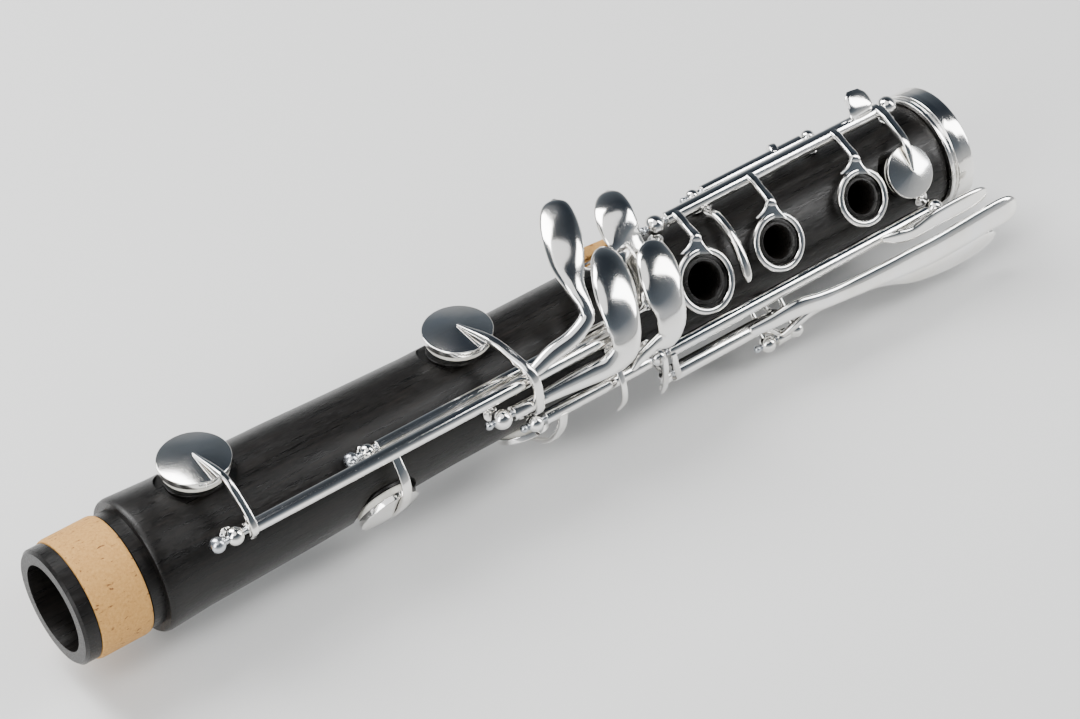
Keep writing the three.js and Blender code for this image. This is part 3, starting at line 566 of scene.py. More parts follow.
def turned_joint():
    """The wood before drilling: tenon, body, bell-end bore and socket, as one closed outline."""
    tenon = [
        (TENON_END_X, BELL_END_BORE_RADIUS + 0.5), (TENON_END_X, TENON_RADIUS - 0.7),
        (TENON_END_X + 0.7, TENON_RADIUS), (CORK_FRONT_X - MOUNT_GAP, TENON_RADIUS),
        (CORK_FRONT_X - MOUNT_GAP, CORK_SEAT_RADIUS), (CORK_REAR_X + MOUNT_GAP, CORK_SEAT_RADIUS),
        (CORK_REAR_X + MOUNT_GAP, TENON_RADIUS), (SHOULDER_X, TENON_RADIUS),
    ]
    ring_seat = [(-7.9, 14.65), (-1.6, 14.6)]
    socket_and_bore = [
        (-1.6, SOCKET_RADIUS + 0.2), (-2, SOCKET_RADIUS), (-SOCKET_DEPTH, SOCKET_RADIUS),
        (-SOCKET_DEPTH, BORE_RADIUS), (-165, BORE_RADIUS), (-220, 8.7),
        (TENON_END_X, BELL_END_BORE_RADIUS),
    ]
    outline = fine(tenon + BODY_OUTLINE + ring_seat, OUTLINE_STEP) + fine(socket_and_bore, BORE_STEP)
    profile = [(radius, x) for x, radius in outline]
    return lathe(profile, (0, 0, 0), ALONG, JOINT_SEGMENTS, closed=True)


def make_body():
    """The drilled joint: spot faces, raised seats, finger chimneys and tone holes."""
    obj = make_object("joint_body_wood", turned_joint(), WOOD)
    for cup, (x, clock, radius, *_) in CUPS.items():
        face = seat_height(cup)
        floor = face - SPOT_FACE_DEPTH
        margin = radius + SPOT_FACE_MARGIN
        pocket = [(ON_AXIS, floor), (margin, floor), (margin, CUT_END), (ON_AXIS, CUT_END)]
        boolean(obj, radial(pocket, x, clock, CUP_SEGMENTS), "DIFFERENCE")
        rim = radius - SEAT_LIP
        hill = rounded([
            (ON_AXIS, WALL_START), (rim + 0.6, WALL_START), (rim + 0.2, face), (ON_AXIS, face),
        ], 0.25)
        boolean(obj, radial(hill, x, clock, CUP_SEGMENTS), "UNION")
    for x, hole, ring in FINGER_HOLES:
        wall = ring - CHIMNEY_CLEARANCE
        chimney = rounded([
            (ON_AXIS, WALL_START), (wall, WALL_START), (wall, CHIMNEY_TOP), (ON_AXIS, CHIMNEY_TOP),
        ], 0.5)
        boolean(obj, radial(chimney, x, 0, CUP_SEGMENTS), "UNION")
        flare = [
            (ON_AXIS, DRILL_START), (hole - 0.4, DRILL_START), (hole - 0.4, 13.5),
            (hole, CHIMNEY_TOP - 0.4), (hole + 0.5, CHIMNEY_TOP + 0.3), (ON_AXIS, CHIMNEY_TOP + 0.3),
        ]
        boolean(obj, radial(flare, x, 0, CUP_SEGMENTS), "DIFFERENCE")
    for cup, (x, clock, radius, *_) in CUPS.items():
        hole = radius - 2 * SEAT_LIP
        face = seat_height(cup)
        well = [
            (ON_AXIS, DRILL_START), (hole, DRILL_START), (hole, face - 0.5), (hole + 0.5, face + 0.2),
            (ON_AXIS, face + 0.2),
        ]
        boolean(obj, radial(well, x, clock, CUP_SEGMENTS), "DIFFERENCE")
    soften(obj.data)
    register(obj, ROOT, ["joint_body"])


def make_socket_ring():
    """Plated band with a bead, a groove and a face over the end of the wood."""
    base = -RING_HEIGHT
    fit = RING_SEAT_RADIUS + RING_CLEARANCE
    bead = RING_RADIUS - 0.35
    groove = RING_RADIUS - 1.15
    profile = rounded([
        (fit, base), (bead, base), (bead, base + 1.2), (groove, base + 1.5), (groove, base + 2.1),
        (RING_RADIUS - 0.25, base + 2.3), (RING_RADIUS - 0.05, base + 4.2), (RING_RADIUS, -1.2),
        (RING_RADIUS, -0.3), (RING_RADIUS - 0.6, 0), (SOCKET_RADIUS + 0.5, 0),
        (SOCKET_RADIUS + 0.4, -1.3), (fit, -1.3),
    ], 0.3)
    band = lathe(profile, (0, 0, 0), ALONG, BAND_SEGMENTS, closed=True)
    piece("socket_ring_plated", [band], SILVER, ROOT, ["socket_ring"])


def make_tenon_cork():
    """Cork sleeve in the tenon's groove, slightly tapered at both ends."""
    inner = CORK_SEAT_RADIUS + MOUNT_GAP
    edge = CORK_RADIUS - 0.25
    profile = rounded([
        (inner, CORK_FRONT_X), (edge, CORK_FRONT_X), (CORK_RADIUS, CORK_FRONT_X + 0.9),
        (CORK_RADIUS, CORK_REAR_X - 0.9), (edge, CORK_REAR_X), (inner, CORK_REAR_X),
    ], 0.4)
    sleeve = lathe(profile, (0, 0, 0), ALONG, BAND_SEGMENTS, closed=True)
    piece("tenon_cork_wrap", [sleeve], CORK, ROOT, ["tenon_cork"])


# ------------------------------------------------------------------ pad cups and pads
ARM_TIP_RISE = 0.1
ARM_TIP_HALVES = (0.3, 0.25)


def cup_levels(cup):
    """Distances from the bore of the closed pad's face, the cup's rim, its top and its apex."""
    _, _, _, height, pad, _ = CUPS[cup]
    face = seat_height(cup) + PAD_GAP
    rim = face + pad
    return face, rim, rim + height, rim + height + CUP_CONE


def cup_shape(cup, hinge):
    """Pad cup with a shallow conical top, turned to its place at rest."""
    x, clock, radius, _, _, lift = CUPS[cup]
    _, rim, top, apex = cup_levels(cup)
    inside = radius - CUP_WALL
    ceiling = top - CUP_ROOF
    outer = rounded([
        (inside, ceiling), (inside, rim), (radius, rim), (radius, top - 0.15), (ON_AXIS, apex),
    ], 0.22)
    shape = radial([(ON_AXIS, ceiling), *outer], x, clock, CUP_SEGMENTS)
    return shape.moved(about(hinge, lift))


def pad_shape(cup, hinge):
    """Pad disc that fills its cup and stands a little below the rim."""
    x, clock, radius, _, _, lift = CUPS[cup]
    face, rim, _, _ = cup_levels(cup)
    size = radius - CUP_WALL - PAD_CLEARANCE
    back = rim + 0.6
    edge = rounded([
        (ON_AXIS, face), (size - 0.25, face), (size, face + 0.4), (size, back), (ON_AXIS, back),
    ], 0.4)
    return radial(edge, x, clock, PAD_SEGMENTS).moved(about(hinge, lift))


def cup_top(cup, hinge, rise):
    """Point above the cup's apex, at rest."""
    x, clock, _, _, _, lift = CUPS[cup]
    return about(hinge, lift) @ around(x, cup_levels(cup)[3] + rise, clock)


def cup_arm(cup, hinge, rows):
    """Blade-shaped arm that ends in a point at the middle of the cup."""
    end = cup_top(cup, hinge, ARM_TIP_RISE)
    return sweep([*rows, (*end, *ARM_TIP_HALVES)], steps=40, sides=24, squareness=0.55)


# ------------------------------------------------------------------ keys
# The rows of a sweep are x, y, z, half width and half height along the middle of the part.
def key(name, node, shapes, body):
    """A silver key or lever made of several shapes."""
    piece(name, shapes, SILVER, body, [node])


def pads():
    """One pad under each cup. A cup and its hinge have the same name."""
    for cup, node, body in (
        ("ring", "ring_pad", "ring_key_body"),
        ("sliver", "sliver_pad", "sliver_key_body"),
        ("lowE", "low_e_pad", "low_e_key_body"),
        ("lowF", "low_f_pad", "low_f_key_body"),
        ("fSharp", "f_sharp_pad", "f_sharp_key_body"),
        ("aFlat", "a_flat_pad", "a_flat_key_body"),
    ):
        piece(node + "_skin", [pad_shape(cup, cup)], PAD, body, [node])


def key_ring(x, ring):
    """Finger ring around a chimney, with rounded upper edges."""
    bottom = KEY_RING_TOP - KEY_RING_HEIGHT
    shoulder = KEY_RING_TOP - 0.35
    outer = ring + KEY_RING_WIDTH
    profile = rounded([
        (ring, bottom), (outer, bottom), (outer, shoulder), (outer - 0.5, KEY_RING_TOP),
        (ring + 0.5, KEY_RING_TOP), (ring, shoulder), (ring, bottom),
    ], 0.35)
    return radial(profile, x, 0, CUP_SEGMENTS, closed=True)


def ring_key():
    """Three finger rings, the upper cup and the bridge tab on one tube."""
    p = pivot("ring")
    middle = KEY_RING_TOP - KEY_RING_HEIGHT / 2
    shapes = [tube("ring", -89.2, -18.6), cup_shape("ring", "ring")]
    for x, _, ring in FINGER_HOLES:
        edge = ring + KEY_RING_WIDTH / 2
        shapes.append(key_ring(x, ring))
        shapes.append(sweep([
            (x + 2.5, p.y + 0.8, p.z + 0.6, 1.3, 0.9), (x + 2.5, p.y - 0.6, p.z + 2.2, 1.3, 0.9),
            (x + 2.4, p.y - 2.9, p.z + 3.9, 1.15, 0.9), (x + 1.9, edge + 3.8, middle - 0.1, 1.3, 0.8),
            (x + 1.5, edge + 2.3, middle, 1.7, 0.7), (x + 1.1, edge + 1.2, middle, 2.5, 0.65),
            (x + 0.7, edge + 0.2, middle, 3.6, 0.6), (x + 0.4, edge - 0.5, middle, 4.3, 0.5),
        ], steps=56, sides=24, squareness=0.6))
    shapes.append(cup_arm("ring", "ring", [
        (-19, p.y + 0.6, p.z + 0.8, 1.4, 0.9), (-19, p.y - 0.8, p.z + 2.4, 1.4, 0.9),
        (-19.4, p.y - 2.8, p.z + 4.4, 1.2, 0.9), (-20.3, p.y - 9, p.z + 9.0, 1.1, 0.7),
    ]))
    shapes.append(sweep([
        (-24.5, p.y + 0.5, p.z + 1, 3, 0.8), (-24.5, p.y + 3, p.z + 1.8, 3.8, 0.8),
        (-24.2, p.y + 6, p.z + 1, 3.4, 0.8), (-24, p.y + 7.6, p.z + 0.2, 2, 0.6),
    ], steps=24, sides=24, squareness=0.6, normal=(0, 0, 1)))
    key("ring_key_plated", "ring_key", shapes, "ring_key_body")


SLIVER_TOUCH_X = -76.9
SLIVER_LEAN = 0.02


def over_the_joint(clock, reach, half_width, half_height):
    """Row of the sliver key's touch bar, which leans a little as it goes round the joint."""
    x = SLIVER_TOUCH_X - (40 - clock) * SLIVER_LEAN
    return (*around(x, reach, clock), half_width, half_height)


def sliver_key():
    """Thin touch bar over the joint, tube, arm and small side cup."""
    p = pivot("sliver")
    touch = sweep([
        (-73.2, p.y, p.z - 1, 1, 0.9), (*around(SLIVER_TOUCH_X + 3, 16.2, 66), 0.9, 0.7),
        over_the_joint(56, 16.1, 1, 0.8), over_the_joint(44, 17.6, 1.15, 1.2),
        over_the_joint(26, 18.1, 1.2, 1.2), over_the_joint(6, 18.2, 1.2, 1.2),
        over_the_joint(-10, 18.3, 1.2, 1.15), over_the_joint(-16, 18.3, 0.5, 0.6),
    ], steps=64, sides=24, squareness=0.7)
    arm = cup_arm("sliver", "sliver", [
        (-50, p.y + 0.6, p.z + 1, 1.1, 0.8), (-49, p.y + 2, p.z - 1.5, 1, 0.7),
    ])
    shapes = [tube("sliver", -74.1, -41.2), touch, cup_shape("sliver", "sliver"), arm]
    key("sliver_key_plated", "sliver_key", shapes, "sliver_key_body")


def paddle(rows):
    """Little-finger touch with a stem: smooth, softly squared, flatter below."""
    return sweep(rows, steps=72, sides=40, squareness=0.86, belly=0.75)


def low_e_key():
    """Lowest cup, with the longest tube and the paddle nearest the bell."""
    p = pivot("lowE")
    arm = cup_arm("lowE", "lowE", [
        (-225.6, p.y - 1.9, p.z - 0.6, 1, 0.9), (-225.6, p.y + 0.2, p.z + 2, 1, 1.1),
        (-225.8, p.y + 6, p.z + 1.5, 1, 1.1), (-226.6, p.y + 13.6, p.z - 0.7, 0.9, 0.9),
    ])
    touch = paddle([
        (-150, 0.3, 21.2, 0.8, 0.7), (-145, 1.2, 21.8, 1.6, 1.2), (-138.9, 3.2, 22.6, 2.2, 1.7),
        (-132.8, 4.5, 23.6, 2.1, 1.7), (-127.6, 7.1, 24.2, 2, 1.6), (-126.6, 10.6, 23.9, 2, 1.5),
        (-126.3, 15.5, 22.3, 2.8, 1.5), (-124.7, 19.8, 20, 4.2, 1.5), (-122.2, 25, 17.6, 4.9, 1.5),
        (-119.7, 29.7, 14.6, 4.6, 1.4), (-117.6, 33, 12.2, 3.2, 1.1), (-116.8, 34.3, 11.3, 0.5, 0.3),
    ])
    shapes = [tube("lowE", -226.8, -121.4), arm, cup_shape("lowE", "lowE"), touch]
    key("low_e_key_plated", "low_e_key", shapes, "low_e_key_body")


def low_f_key():
    """Second cup, with its paddle, link arm and the crow's foot under the paddles."""
    p = pivot("lowF")
    arm = cup_arm("lowF", "lowF", [
        (-146.6, p.y - 2.2, p.z - 1.6, 1.1, 0.8), (-146.6, p.y - 1.2, p.z + 2.2, 1.2, 1),
        (-147, 0.6, 25.2, 1.2, 1), (-148.7, 6.6, 23, 1.2, 1), (-151.1, 12.6, 19.3, 1.1, 0.9),
    ])
    touch = paddle([
        (-145, p.y, p.z + 0.3, 1.7, 1.4), (-137, -5.9, 19.7, 2.3, 2), (-130.8, -6, 20.4, 2.7, 2.2),
        (-125.3, -6, 21.7, 2.9, 2), (-121.3, -4.2, 23.9, 3.8, 1.7), (-119.9, -0.9, 25.3, 4.2, 1.5),
        (-119.3, 3.3, 25.6, 4.9, 1.5), (-118.4, 7.9, 24.8, 5.3, 1.5), (-116.3, 12.9, 22.6, 5, 1.5),
        (-114.3, 16.8, 19.9, 3.9, 1.4), (-113.2, 18.8, 18, 2.2, 1), (-112.8, 19.6, 17.2, 0.5, 0.3),
    ])
    neck_rows = [(-115.4, 15.2, 20, 0.8, 2), (-115.4, 16, 12.9, 0.8, 2)]
    neck = sweep(neck_rows, steps=8, sides=20, squareness=0.6, normal=ALONG)
    foot_rows = [(x, y, z, w, CROWS_FOOT_HALF) for x, y, z, w in CROWS_FOOT]
    foot = sweep(foot_rows, steps=24, sides=20, squareness=0.5)
    link = sweep([
        (-122.8, p.y - 0.5, p.z + 1.6, 0.9, 0.6), (-122.8, -12.5, 20.2, 0.8, 0.5),
        (-122.5, -16.8, 17, 0.8, 0.5), (-122.3, -19, 12.6, 0.7, 0.5),
    ], steps=32, sides=20, squareness=0.5)
    shapes = [tube("lowF", -152.9, -122), arm, cup_shape("lowF", "lowF"), touch, neck, foot, link]
    key("low_f_key_plated", "low_f_key", shapes, "low_f_key_body")


def crows_foot_cork():
    """Cork sheet on the outer face of the crow's foot."""
    rows = []
    for x, y, z, w in CROWS_FOOT:
        out = Vector((0, y, z)).normalized()
        down = Vector((0, out.z, -out.y))
        lift = CROWS_FOOT_HALF + CORK_GLUE_GAP + CROWS_FOOT_CORK / 2
        middle = Vector((x, y, z)) + out * lift + down * CORK_SHIFT
        rows.append((*middle, w - 1, CROWS_FOOT_CORK / 2))
    sheet = sweep(rows, steps=24, sides=24, squareness=0.5)
    piece("crows_foot_cork_sheet", [sheet], CORK, "low_f_key_body", ["crows_foot_cork"])


def f_sharp_key():
    """Closed cup on the player's left, with its tube close to the wood, and its paddle."""
    p = pivot("fSharp")
    arm = cup_arm("fSharp", "fSharp", [
        (-184.4, p.y, p.z, 1.2, 0.5), (-184.4, p.y - 4.5, p.z + 0.4, 1.2, 0.55),
        (-184.5, p.y - 11, p.z + 0.2, 1.3, 0.6), (-185, p.y - 15.8, p.z - 3.2, 1.2, 0.6),
    ])
    touch = paddle([
        (-112, p.y, p.z + 0.3, 1, 0.7), (-109.6, 3.2, 18.1, 1.4, 1), (-108, 5.4, 17.4, 1.8, 1),
        (-106, 8.6, 17, 3.6, 1), (-105, 11.9, 16.5, 4.4, 1), (-104.9, 15.9, 15.4, 4.8, 1.2),
        (-105.1, 19.8, 15.1, 5.1, 1.4), (-104.5, 23, 14, 5.1, 1.4), (-103.2, 26.1, 12.3, 4.6, 1.3),
        (-101.4, 28.6, 9.8, 3.1, 1), (-100.5, 29.7, 8.5, 0.5, 0.3),
    ])
    shapes = [tube("fSharp", -187.8, -108), arm, cup_shape("fSharp", "fSharp"), touch]
    key("f_sharp_key_plated", "f_sharp_key", shapes, "f_sharp_key_body")


def a_flat_key():
    """Closed cup on the player's left, and its paddle."""
    p = pivot("aFlat")
    arm = cup_arm("aFlat", "aFlat", [
        (-139.4, p.y - 0.6, p.z + 1, 1.2, 0.8), (-139.6, p.y - 4.6, p.z - 2.4, 1.2, 0.7),
        (-140.4, p.y - 7.6, p.z - 9, 1.1, 0.7),
    ])
    touch = paddle([
        (-118, p.y + 0.2, p.z + 0.8, 0.8, 0.8), (-114.6, -8.8, 18.8, 1.5, 1.2),
        (-110.6, -7.2, 20.6, 1.9, 1.4), (-107.7, -6.6, 22.2, 3.1, 1.4),
        (-106.4, -4.1, 23.8, 4, 1.4), (-105.7, -0.2, 25, 4.5, 1.4),
        (-105.6, 3.8, 25.2, 5.3, 1.4), (-104.8, 8, 24.6, 5.5, 1.4), (-103, 12.4, 22.8, 4.8, 1.4),
        (-101.2, 15.2, 21.1, 2.7, 1), (-100.6, 16.1, 20.5, 0.5, 0.3),
    ])
    shapes = [tube("aFlat", -144.2, -112), arm, cup_shape("aFlat", "aFlat"), touch]
    key("a_flat_key_plated", "a_flat_key", shapes, "a_flat_key_body")


def left_lever_e():
    """Long left-hand lever, with a flat link at its lower end."""
    arm = sweep([
        (-80, -17.8, 13.2, 1.6, 0.9), (-74.4, -17.6, 15.2, 2, 1.1), (-67.4, -17.1, 17.6, 2.4, 1.2),
        (-59.4, -18.4, 17.8, 2.5, 1.2), (-50.8, -19.2, 17.6, 2.6, 1.2), (-39, -19.8, 18.2, 3, 1.2),
        (-30.7, -20.2, 18.6, 3.4, 1.1), (-22, -20.5, 18.7, 3.6, 1.1), (-13.6, -20.3, 19, 3.7, 1.1),
        (-5.2, -19.9, 19.5, 3.7, 1.1), (1, -19.9, 19.7, 3.6, 1), (4, -20, 19.6, 2.2, 0.7),
        (4.8, -20.1, 19.5, 0.3, 0.2),
    ], steps=112, sides=32, squareness=0.9, normal=LEVER_FACE)
    link = sweep([
        (-103.6, -18.4, 12.6, 0.8, 0.5), (-104.9, -18, 15.4, 0.8, 0.45),
        (-106.4, -14.6, 18.6, 0.8, 0.45), (-106.9, -11.6, 20.4, 0.7, 0.4),
    ], steps=32, sides=20, squareness=0.5)
    shapes = [tube("leverE", -104.4, -73.8), arm, link]
    key("left_lever_e_plated", "left_lever_e", shapes, "lever_e_body")


def left_lever_f_sharp():
    """Short left-hand touch on a long tube, in line with the A flat key's tube."""
    arm = sweep([
        (-37, -11.8, 18, 1, 0.7), (-33.6, -12.8, 19.6, 2, 1), (-29, -13.5, 20.2, 2, 1),
        (-22, -12.9, 21, 2.6, 1), (-14, -12.8, 21.3, 2.8, 1), (-8, -12.9, 21.1, 2.7, 1),
        (-4.6, -13.2, 20.8, 1.9, 0.7), (-3.5, -13.3, 20.7, 0.4, 0.2),
    ], steps=80, sides=32, squareness=0.9)
    shapes = [tube("aFlat", -106.2, -20.6), arm]
    key("left_lever_f_sharp_plated", "left_lever_f_sharp", shapes, "lever_f_sharp_body")


def left_lever_f():
    """Outer left-hand touch, with a back arm behind the thick tube and a flat link."""
    touch = sweep([
        (-68, -24, 7.2, 0.9, 0.8), (-65, -22.6, 9.6, 1.2, 1), (-60, -21, 11.8, 1.4, 1),
        (-50, -21, 12.8, 1.5, 1), (-38, -22.6, 13.2, 1.9, 1), (-28, -25, 13.8, 3, 1),
        (-17, -26, 13.9, 3.7, 1), (-8, -25.9, 14.1, 3.7, 1), (-3, -25.7, 14.4, 2.3, 0.8),
        (-1.1, -25.6, 14.5, 0.4, 0.2),
    ], steps=96, sides=32, squareness=0.9, normal=SIDE_FACE)
    back = sweep([
        (-68.4, -23.6, 6.2, 0.9, 0.9), (-72, -21, 7.2, 1.1, 0.8), (-78, -19.6, 7.5, 1.2, 0.8),
        (-92, -19.5, 7.5, 1.2, 0.8), (-103, -19.9, 7.6, 1.1, 0.8), (-107, -20.8, 8.6, 0.9, 0.7),
    ], steps=48, sides=24, squareness=0.8)
    link = sweep([
        (-106.6, -20.8, 8.4, 0.8, 0.5), (-108.4, -20.9, 11.2, 0.8, 0.45), (-109.2, -18.6, 15, 0.8, 0.45),
        (-109.9, -14.6, 19.2, 0.8, 0.45), (-110.2, -11.4, 21.4, 0.7, 0.4),
    ], steps=36, sides=20, squareness=0.5)
    shapes = [tube("leverF", -69.7, -65.9), touch, back, link]
    key("left_lever_f_plated", "left_lever_f", shapes, "lever_f_body")


# ------------------------------------------------------------------ posts, rods and springs
# Ball posts: hinge line, position, ball radius.
POSTS = {
    "ring_post_lower": ("ring", -92.4, 2.7), "ring_post_upper": ("ring", -15.6, 2.6),
    "sliver_post_lower": ("sliver", -76.9, 1.9), "sliver_post_upper": ("sliver", -38.7, 2),
    "low_e_post_lower": ("lowE", -229.8, 2.3), "low_e_post_upper": ("lowE", -118.6, 2.1),
    "low_f_post_lower": ("lowF", -155.9, 2.6), "low_f_post_upper": ("lowF", -119.2, 2.1),
    "f_sharp_post_lower": ("fSharp", -190.3, 2), "f_sharp_post_upper": ("fSharp", -105.4, 2),
    "a_flat_post_lower": ("aFlat", -146.9, 2.2), "left_hand_post_middle": ("aFlat", -109.2, 2.2),
    "left_hand_post_upper": ("aFlat", -17.8, 2.4), "lever_e_post_lower": ("leverE", -106.6, 1.8),
    "lever_e_post_upper": ("leverE", -71.3, 2.2), "lever_f_post_lower": ("leverF", -72.4, 2.3),
    "lever_f_post_upper": ("leverF", -63.2, 2.3),
}
# Posts whose foot isn't straight below the hinge line.
FOOT_CLOCKS = {"low_e_post_upper": -4}
BALL_STEPS = 20
POLE_MARGIN = 0.02


def make_post(name, hinge, x, ball):
    """Turned post: round foot, thin neck and a ball on the hinge line."""
    head = pivot(hinge, x)
    clock = FOOT_CLOCKS.get(name, HINGES[hinge][1])
    foot = around(x, body_radius(x) + MOUNT_GAP, clock)
    height = (head - foot).length
    neck_top = height - ball * 0.8
    base = rounded([(ON_AXIS, 0), (2, 0), (2, 0.5), (1.1, 0.8), (0.85, 1.3), (0.85, neck_top)], 0.2)
    if height - ball < 1:
        base = rounded([(ON_AXIS, 0), (2, 0), (2, 0.45), (1.2, 0.8)], 0.2)
    lowest = math.asin(max((base[-1][1] - height) / ball, -0.87))
    globe = []
    for step in range(BALL_STEPS + 1):
        angle = lerp(lowest, math.pi / 2 - POLE_MARGIN, step / BALL_STEPS)
        globe.append((ball * math.cos(angle), height + ball * math.sin(angle)))
    shape = lathe([*base, *globe], foot, head - foot, POST_SEGMENTS)
    piece(name + "_turned", [shape], SILVER, ROOT, [name])


# Hinge rods: hinge line, both ends, head radius.
RODS = {
    "ring_rod": ("ring", -95.8, -13.6, 1.1), "sliver_rod": ("sliver", -79.4, -37, 1),
    "low_e_rod": ("lowE", -233.6, -117, 2), "low_f_rod": ("lowF", -159.2, -117.4, 1.1),
    "f_sharp_rod": ("fSharp", -194, -103.8, 1.9), "a_flat_rod": ("aFlat", -149.8, -109.5, 1),
    "left_hand_rod": ("aFlat", -107.4, -15.8, 0.8), "lever_e_rod": ("leverE", -107.2, -69.6, 0.7),
    "lever_f_rod": ("leverF", -75.3, -61.6, 1),
}
DOME_STEPS = 16


def make_rod(name, hinge, x0, x1, head):
    """Hinge rod with a domed head at its lower end."""
    centre = x0 - head * 0.4
    dome = []
    for step in range(DOME_STEPS + 1):
        angle = lerp(-math.pi / 2 + POLE_MARGIN, math.pi / 3, step / DOME_STEPS)
        dome.append((head * math.cos(angle), centre + head * math.sin(angle)))
    shank = [(ROD_RADIUS, x0 + head * 0.6), (ROD_RADIUS, x1 - 0.3), (ROD_RADIUS - 0.25, x1)]
    rod_shape = lathe([*dome, *shank], pivot(hinge), ALONG, TUBE_SEGMENTS)
    piece(name + "_steel", [rod_shape], STEEL, ROOT, [name])


# Needle springs: hinge line they work, both ends.
SPRINGS = {
    "ring_spring": ("ring", -58, -40), "low_e_spring": ("lowE", -215, -196),
    "low_f_spring": ("lowF", -143, -127), "f_sharp_spring": ("aFlat", -100, -84),
}
SPRING_OFFSET = Vector((0, -0.8, -3))
SPRING_RADIUS = 0.22


def make_spring(name, hinge, x0, x1):
    """Needle spring below a tube, with a point at its lower end."""
    outline = [(0.04, x0), (SPRING_RADIUS, x0 + 1.5), (SPRING_RADIUS, x1 - 0.4), (0.15, x1)]
    wire = lathe(outline, pivot(hinge) + SPRING_OFFSET, ALONG, WIRE_SEGMENTS)
    piece(name + "_blued", [wire], BLUED, ROOT, [name])


# ------------------------------------------------------------------ thumb rest
THUMB_X = -52
THUMB_PLATE_HALF = 0.8
THUMB_SCREWS = {"thumb_rest_screw_lower": -10, "thumb_rest_screw_upper": 1}


def thumb_rest():
    """Plate on the back of the joint, its hook, and the two screws that hold it."""
    back = -(MIDDLE_RADIUS + MOUNT_GAP + THUMB_PLATE_HALF)
    plate = sweep([
        (THUMB_X - 15, 0, back, 4.6, THUMB_PLATE_HALF), (THUMB_X - 13, 0, back, 5.5, THUMB_PLATE_HALF),
        (THUMB_X + 13, 0, back, 5.5, THUMB_PLATE_HALF), (THUMB_X + 15, 0, back, 4.6, THUMB_PLATE_HALF),
    ], steps=40, sides=40, squareness=0.35, normal=(0, 0, -1))
    hook = sweep([
        (THUMB_X + 8, 0, back - 0.3, 5, 0.7), (THUMB_X + 9.5, 0, back - 5, 5.2, 0.9),
        (THUMB_X + 10, 0, back - 10, 5.4, 0.9), (THUMB_X + 8.6, 0, back - 15, 5, 0.9),
    ], steps=40, sides=40, squareness=0.5, normal=(1, 0, 0))
    piece("thumb_rest_plated", [plate, hook], SILVER, ROOT, ["thumb_rest"])
    for node, offset in THUMB_SCREWS.items():
        head = rounded([
            (ON_AXIS, 1.6), (1.1, 1.6), (1.1, 0), (2.1, 0), (1.7, -0.9), (ON_AXIS, -1.1),
        ], 0.2)
        screw = lathe(head, (THUMB_X + offset, 0, back - 0.85), (0, 0, 1), TUBE_SEGMENTS)
        piece(node + "_slotted", [screw], STEEL, ROOT, [node])


# ------------------------------------------------------------------ studio
# Places and sizes are in metres, in the row frame. The lens and its sensor are in millimetres.
CAMERA_PLACE = Vector((-0.471, -0.445, 0.5335))
CAMERA_AZIMUTH = -37.45
CAMERA_ELEVATION = 43.73
LENS = 105
SENSOR_WIDTH = 36
CLIP_START = 0.01
FLOOR_HALF = 4

# Sky colours by height, from 0 at the horizon and below to 1 overhead.
SKY = [
    (0, (0.8, 0.81, 0.82)), (0.12, (0.62, 0.64, 0.66)), (0.42, (0.15, 0.175, 0.205)),
    (0.85, (0.03, 0.04, 0.055)),
]
SKY_STRENGTH = 0.8

# A very soft sun fills the shadows. Its angle is the size of its disc.
SUN_ENERGY = 0.9
SUN_ANGLE = 50
SUN_TILT = (12, -14, 0)

# Area lights, aimed at the middle of the part: name, place from the middle, size, energy.
AREA_LIGHTS = [
    ("key_light", (-0.25, 0.55, 0.75), (0.42, 0.8), 17),
    ("left_light", (-0.8, -0.25, 0.5), (0.3, 0.8), 8),
    ("right_light", (0.55, -0.35, 0.45), (0.22, 0.7), 6),
]


def add_floor():
    level = CAD_BOX[0][2]
    mesh = bpy.data.meshes.new("floor")
    corners = [(-1, -1), (1, -1), (1, 1), (-1, 1)]
    mesh.from_pydata([(x * FLOOR_HALF, y * FLOOR_HALF, level) for x, y in corners], [], [(0, 1, 2, 3)])
    mesh.materials.append(matte_floor("floor_paper"))
    floor = bpy.data.objects.new("floor", mesh)
    bpy.context.scene.collection.objects.link(floor)


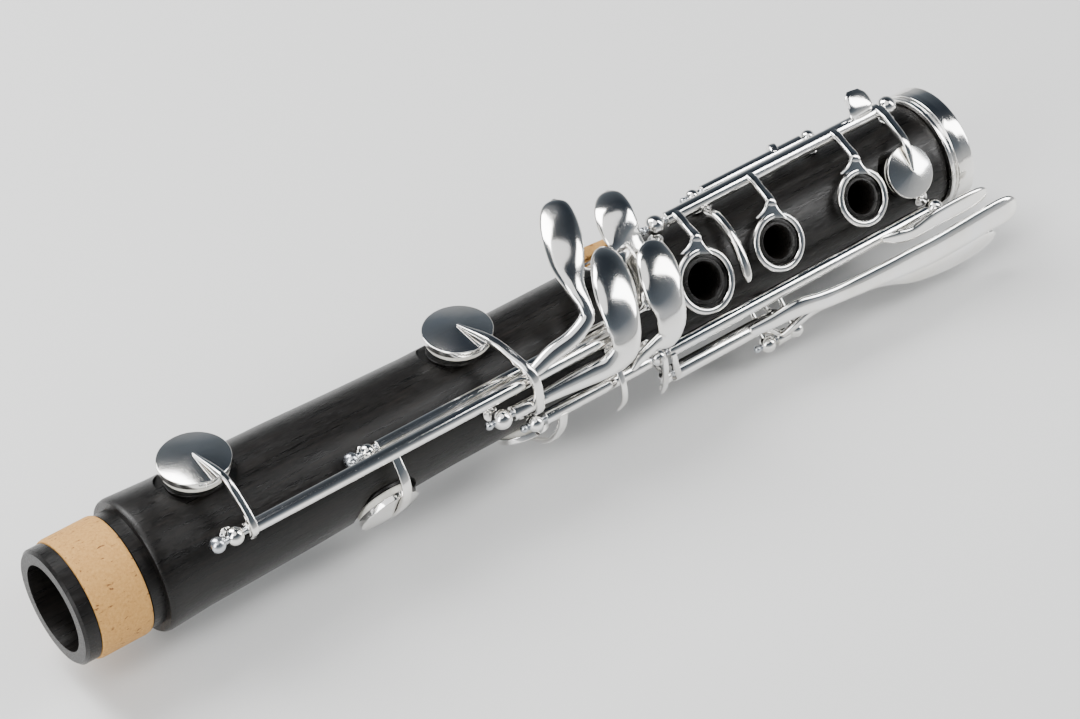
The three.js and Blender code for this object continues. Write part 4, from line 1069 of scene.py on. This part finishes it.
def add_camera():
    camera = bpy.data.objects.new("camera", bpy.data.cameras.new("camera"))
    camera.data.lens = LENS
    camera.data.sensor_width = SENSOR_WIDTH
    camera.data.clip_start = CLIP_START
    camera.location = CAMERA_PLACE
    camera.rotation_euler = Euler((math.radians(90 - CAMERA_ELEVATION), 0, math.radians(CAMERA_AZIMUTH)))
    bpy.context.scene.collection.objects.link(camera)
    bpy.context.scene.camera = camera


def add_sky():
    world = bpy.data.worlds.new("world")
    world.use_nodes = True
    tree = world.node_tree
    upward = add_node(tree, "ShaderNodeSeparateXYZ")
    tree.links.new(tree.nodes.new("ShaderNodeTexCoord").outputs["Generated"], upward.inputs["Vector"])
    background = tree.nodes["Background"]
    tree.links.new(ramp(tree, upward.outputs["Z"], SKY), background.inputs["Color"])
    background.inputs["Strength"].default_value = SKY_STRENGTH
    bpy.context.scene.world = world


def add_lights():
    sun = bpy.data.objects.new("fill_light", bpy.data.lights.new("fill_light", "SUN"))
    sun.data.energy = SUN_ENERGY
    sun.data.angle = math.radians(SUN_ANGLE)
    sun.rotation_euler = [math.radians(tilt) for tilt in SUN_TILT]
    bpy.context.scene.collection.objects.link(sun)
    low, high = CAD_BOX
    middle = Vector((low[0] + high[0], low[1] + high[1], low[2] + high[2])) / 2
    for name, place, size, power in AREA_LIGHTS:
        light = bpy.data.lights.new(name, "AREA")
        light.shape = "RECTANGLE"
        light.size, light.size_y = size
        light.energy = power
        lamp = bpy.data.objects.new(name, light)
        lamp.location = middle + Vector(place)
        lamp.rotation_euler = (middle - lamp.location).to_track_quat("-Z", "Y").to_euler()
        bpy.context.scene.collection.objects.link(lamp)


# ------------------------------------------------------------------ build
make_body()
make_socket_ring()
make_tenon_cork()
for build in (pads, ring_key, sliver_key, low_e_key, low_f_key, crows_foot_cork, f_sharp_key, a_flat_key,
              left_lever_e, left_lever_f_sharp, left_lever_f, thumb_rest):
    build()
for post, (hinge, x, ball) in POSTS.items():
    make_post(post, hinge, x, ball)
for rod, (hinge, x0, x1, head) in RODS.items():
    make_rod(rod, hinge, x0, x1, head)
for spring, (hinge, x0, x1) in SPRINGS.items():
    make_spring(spring, hinge, x0, x1)
for stage in (add_floor, add_camera, add_sky, add_lights):
    stage()
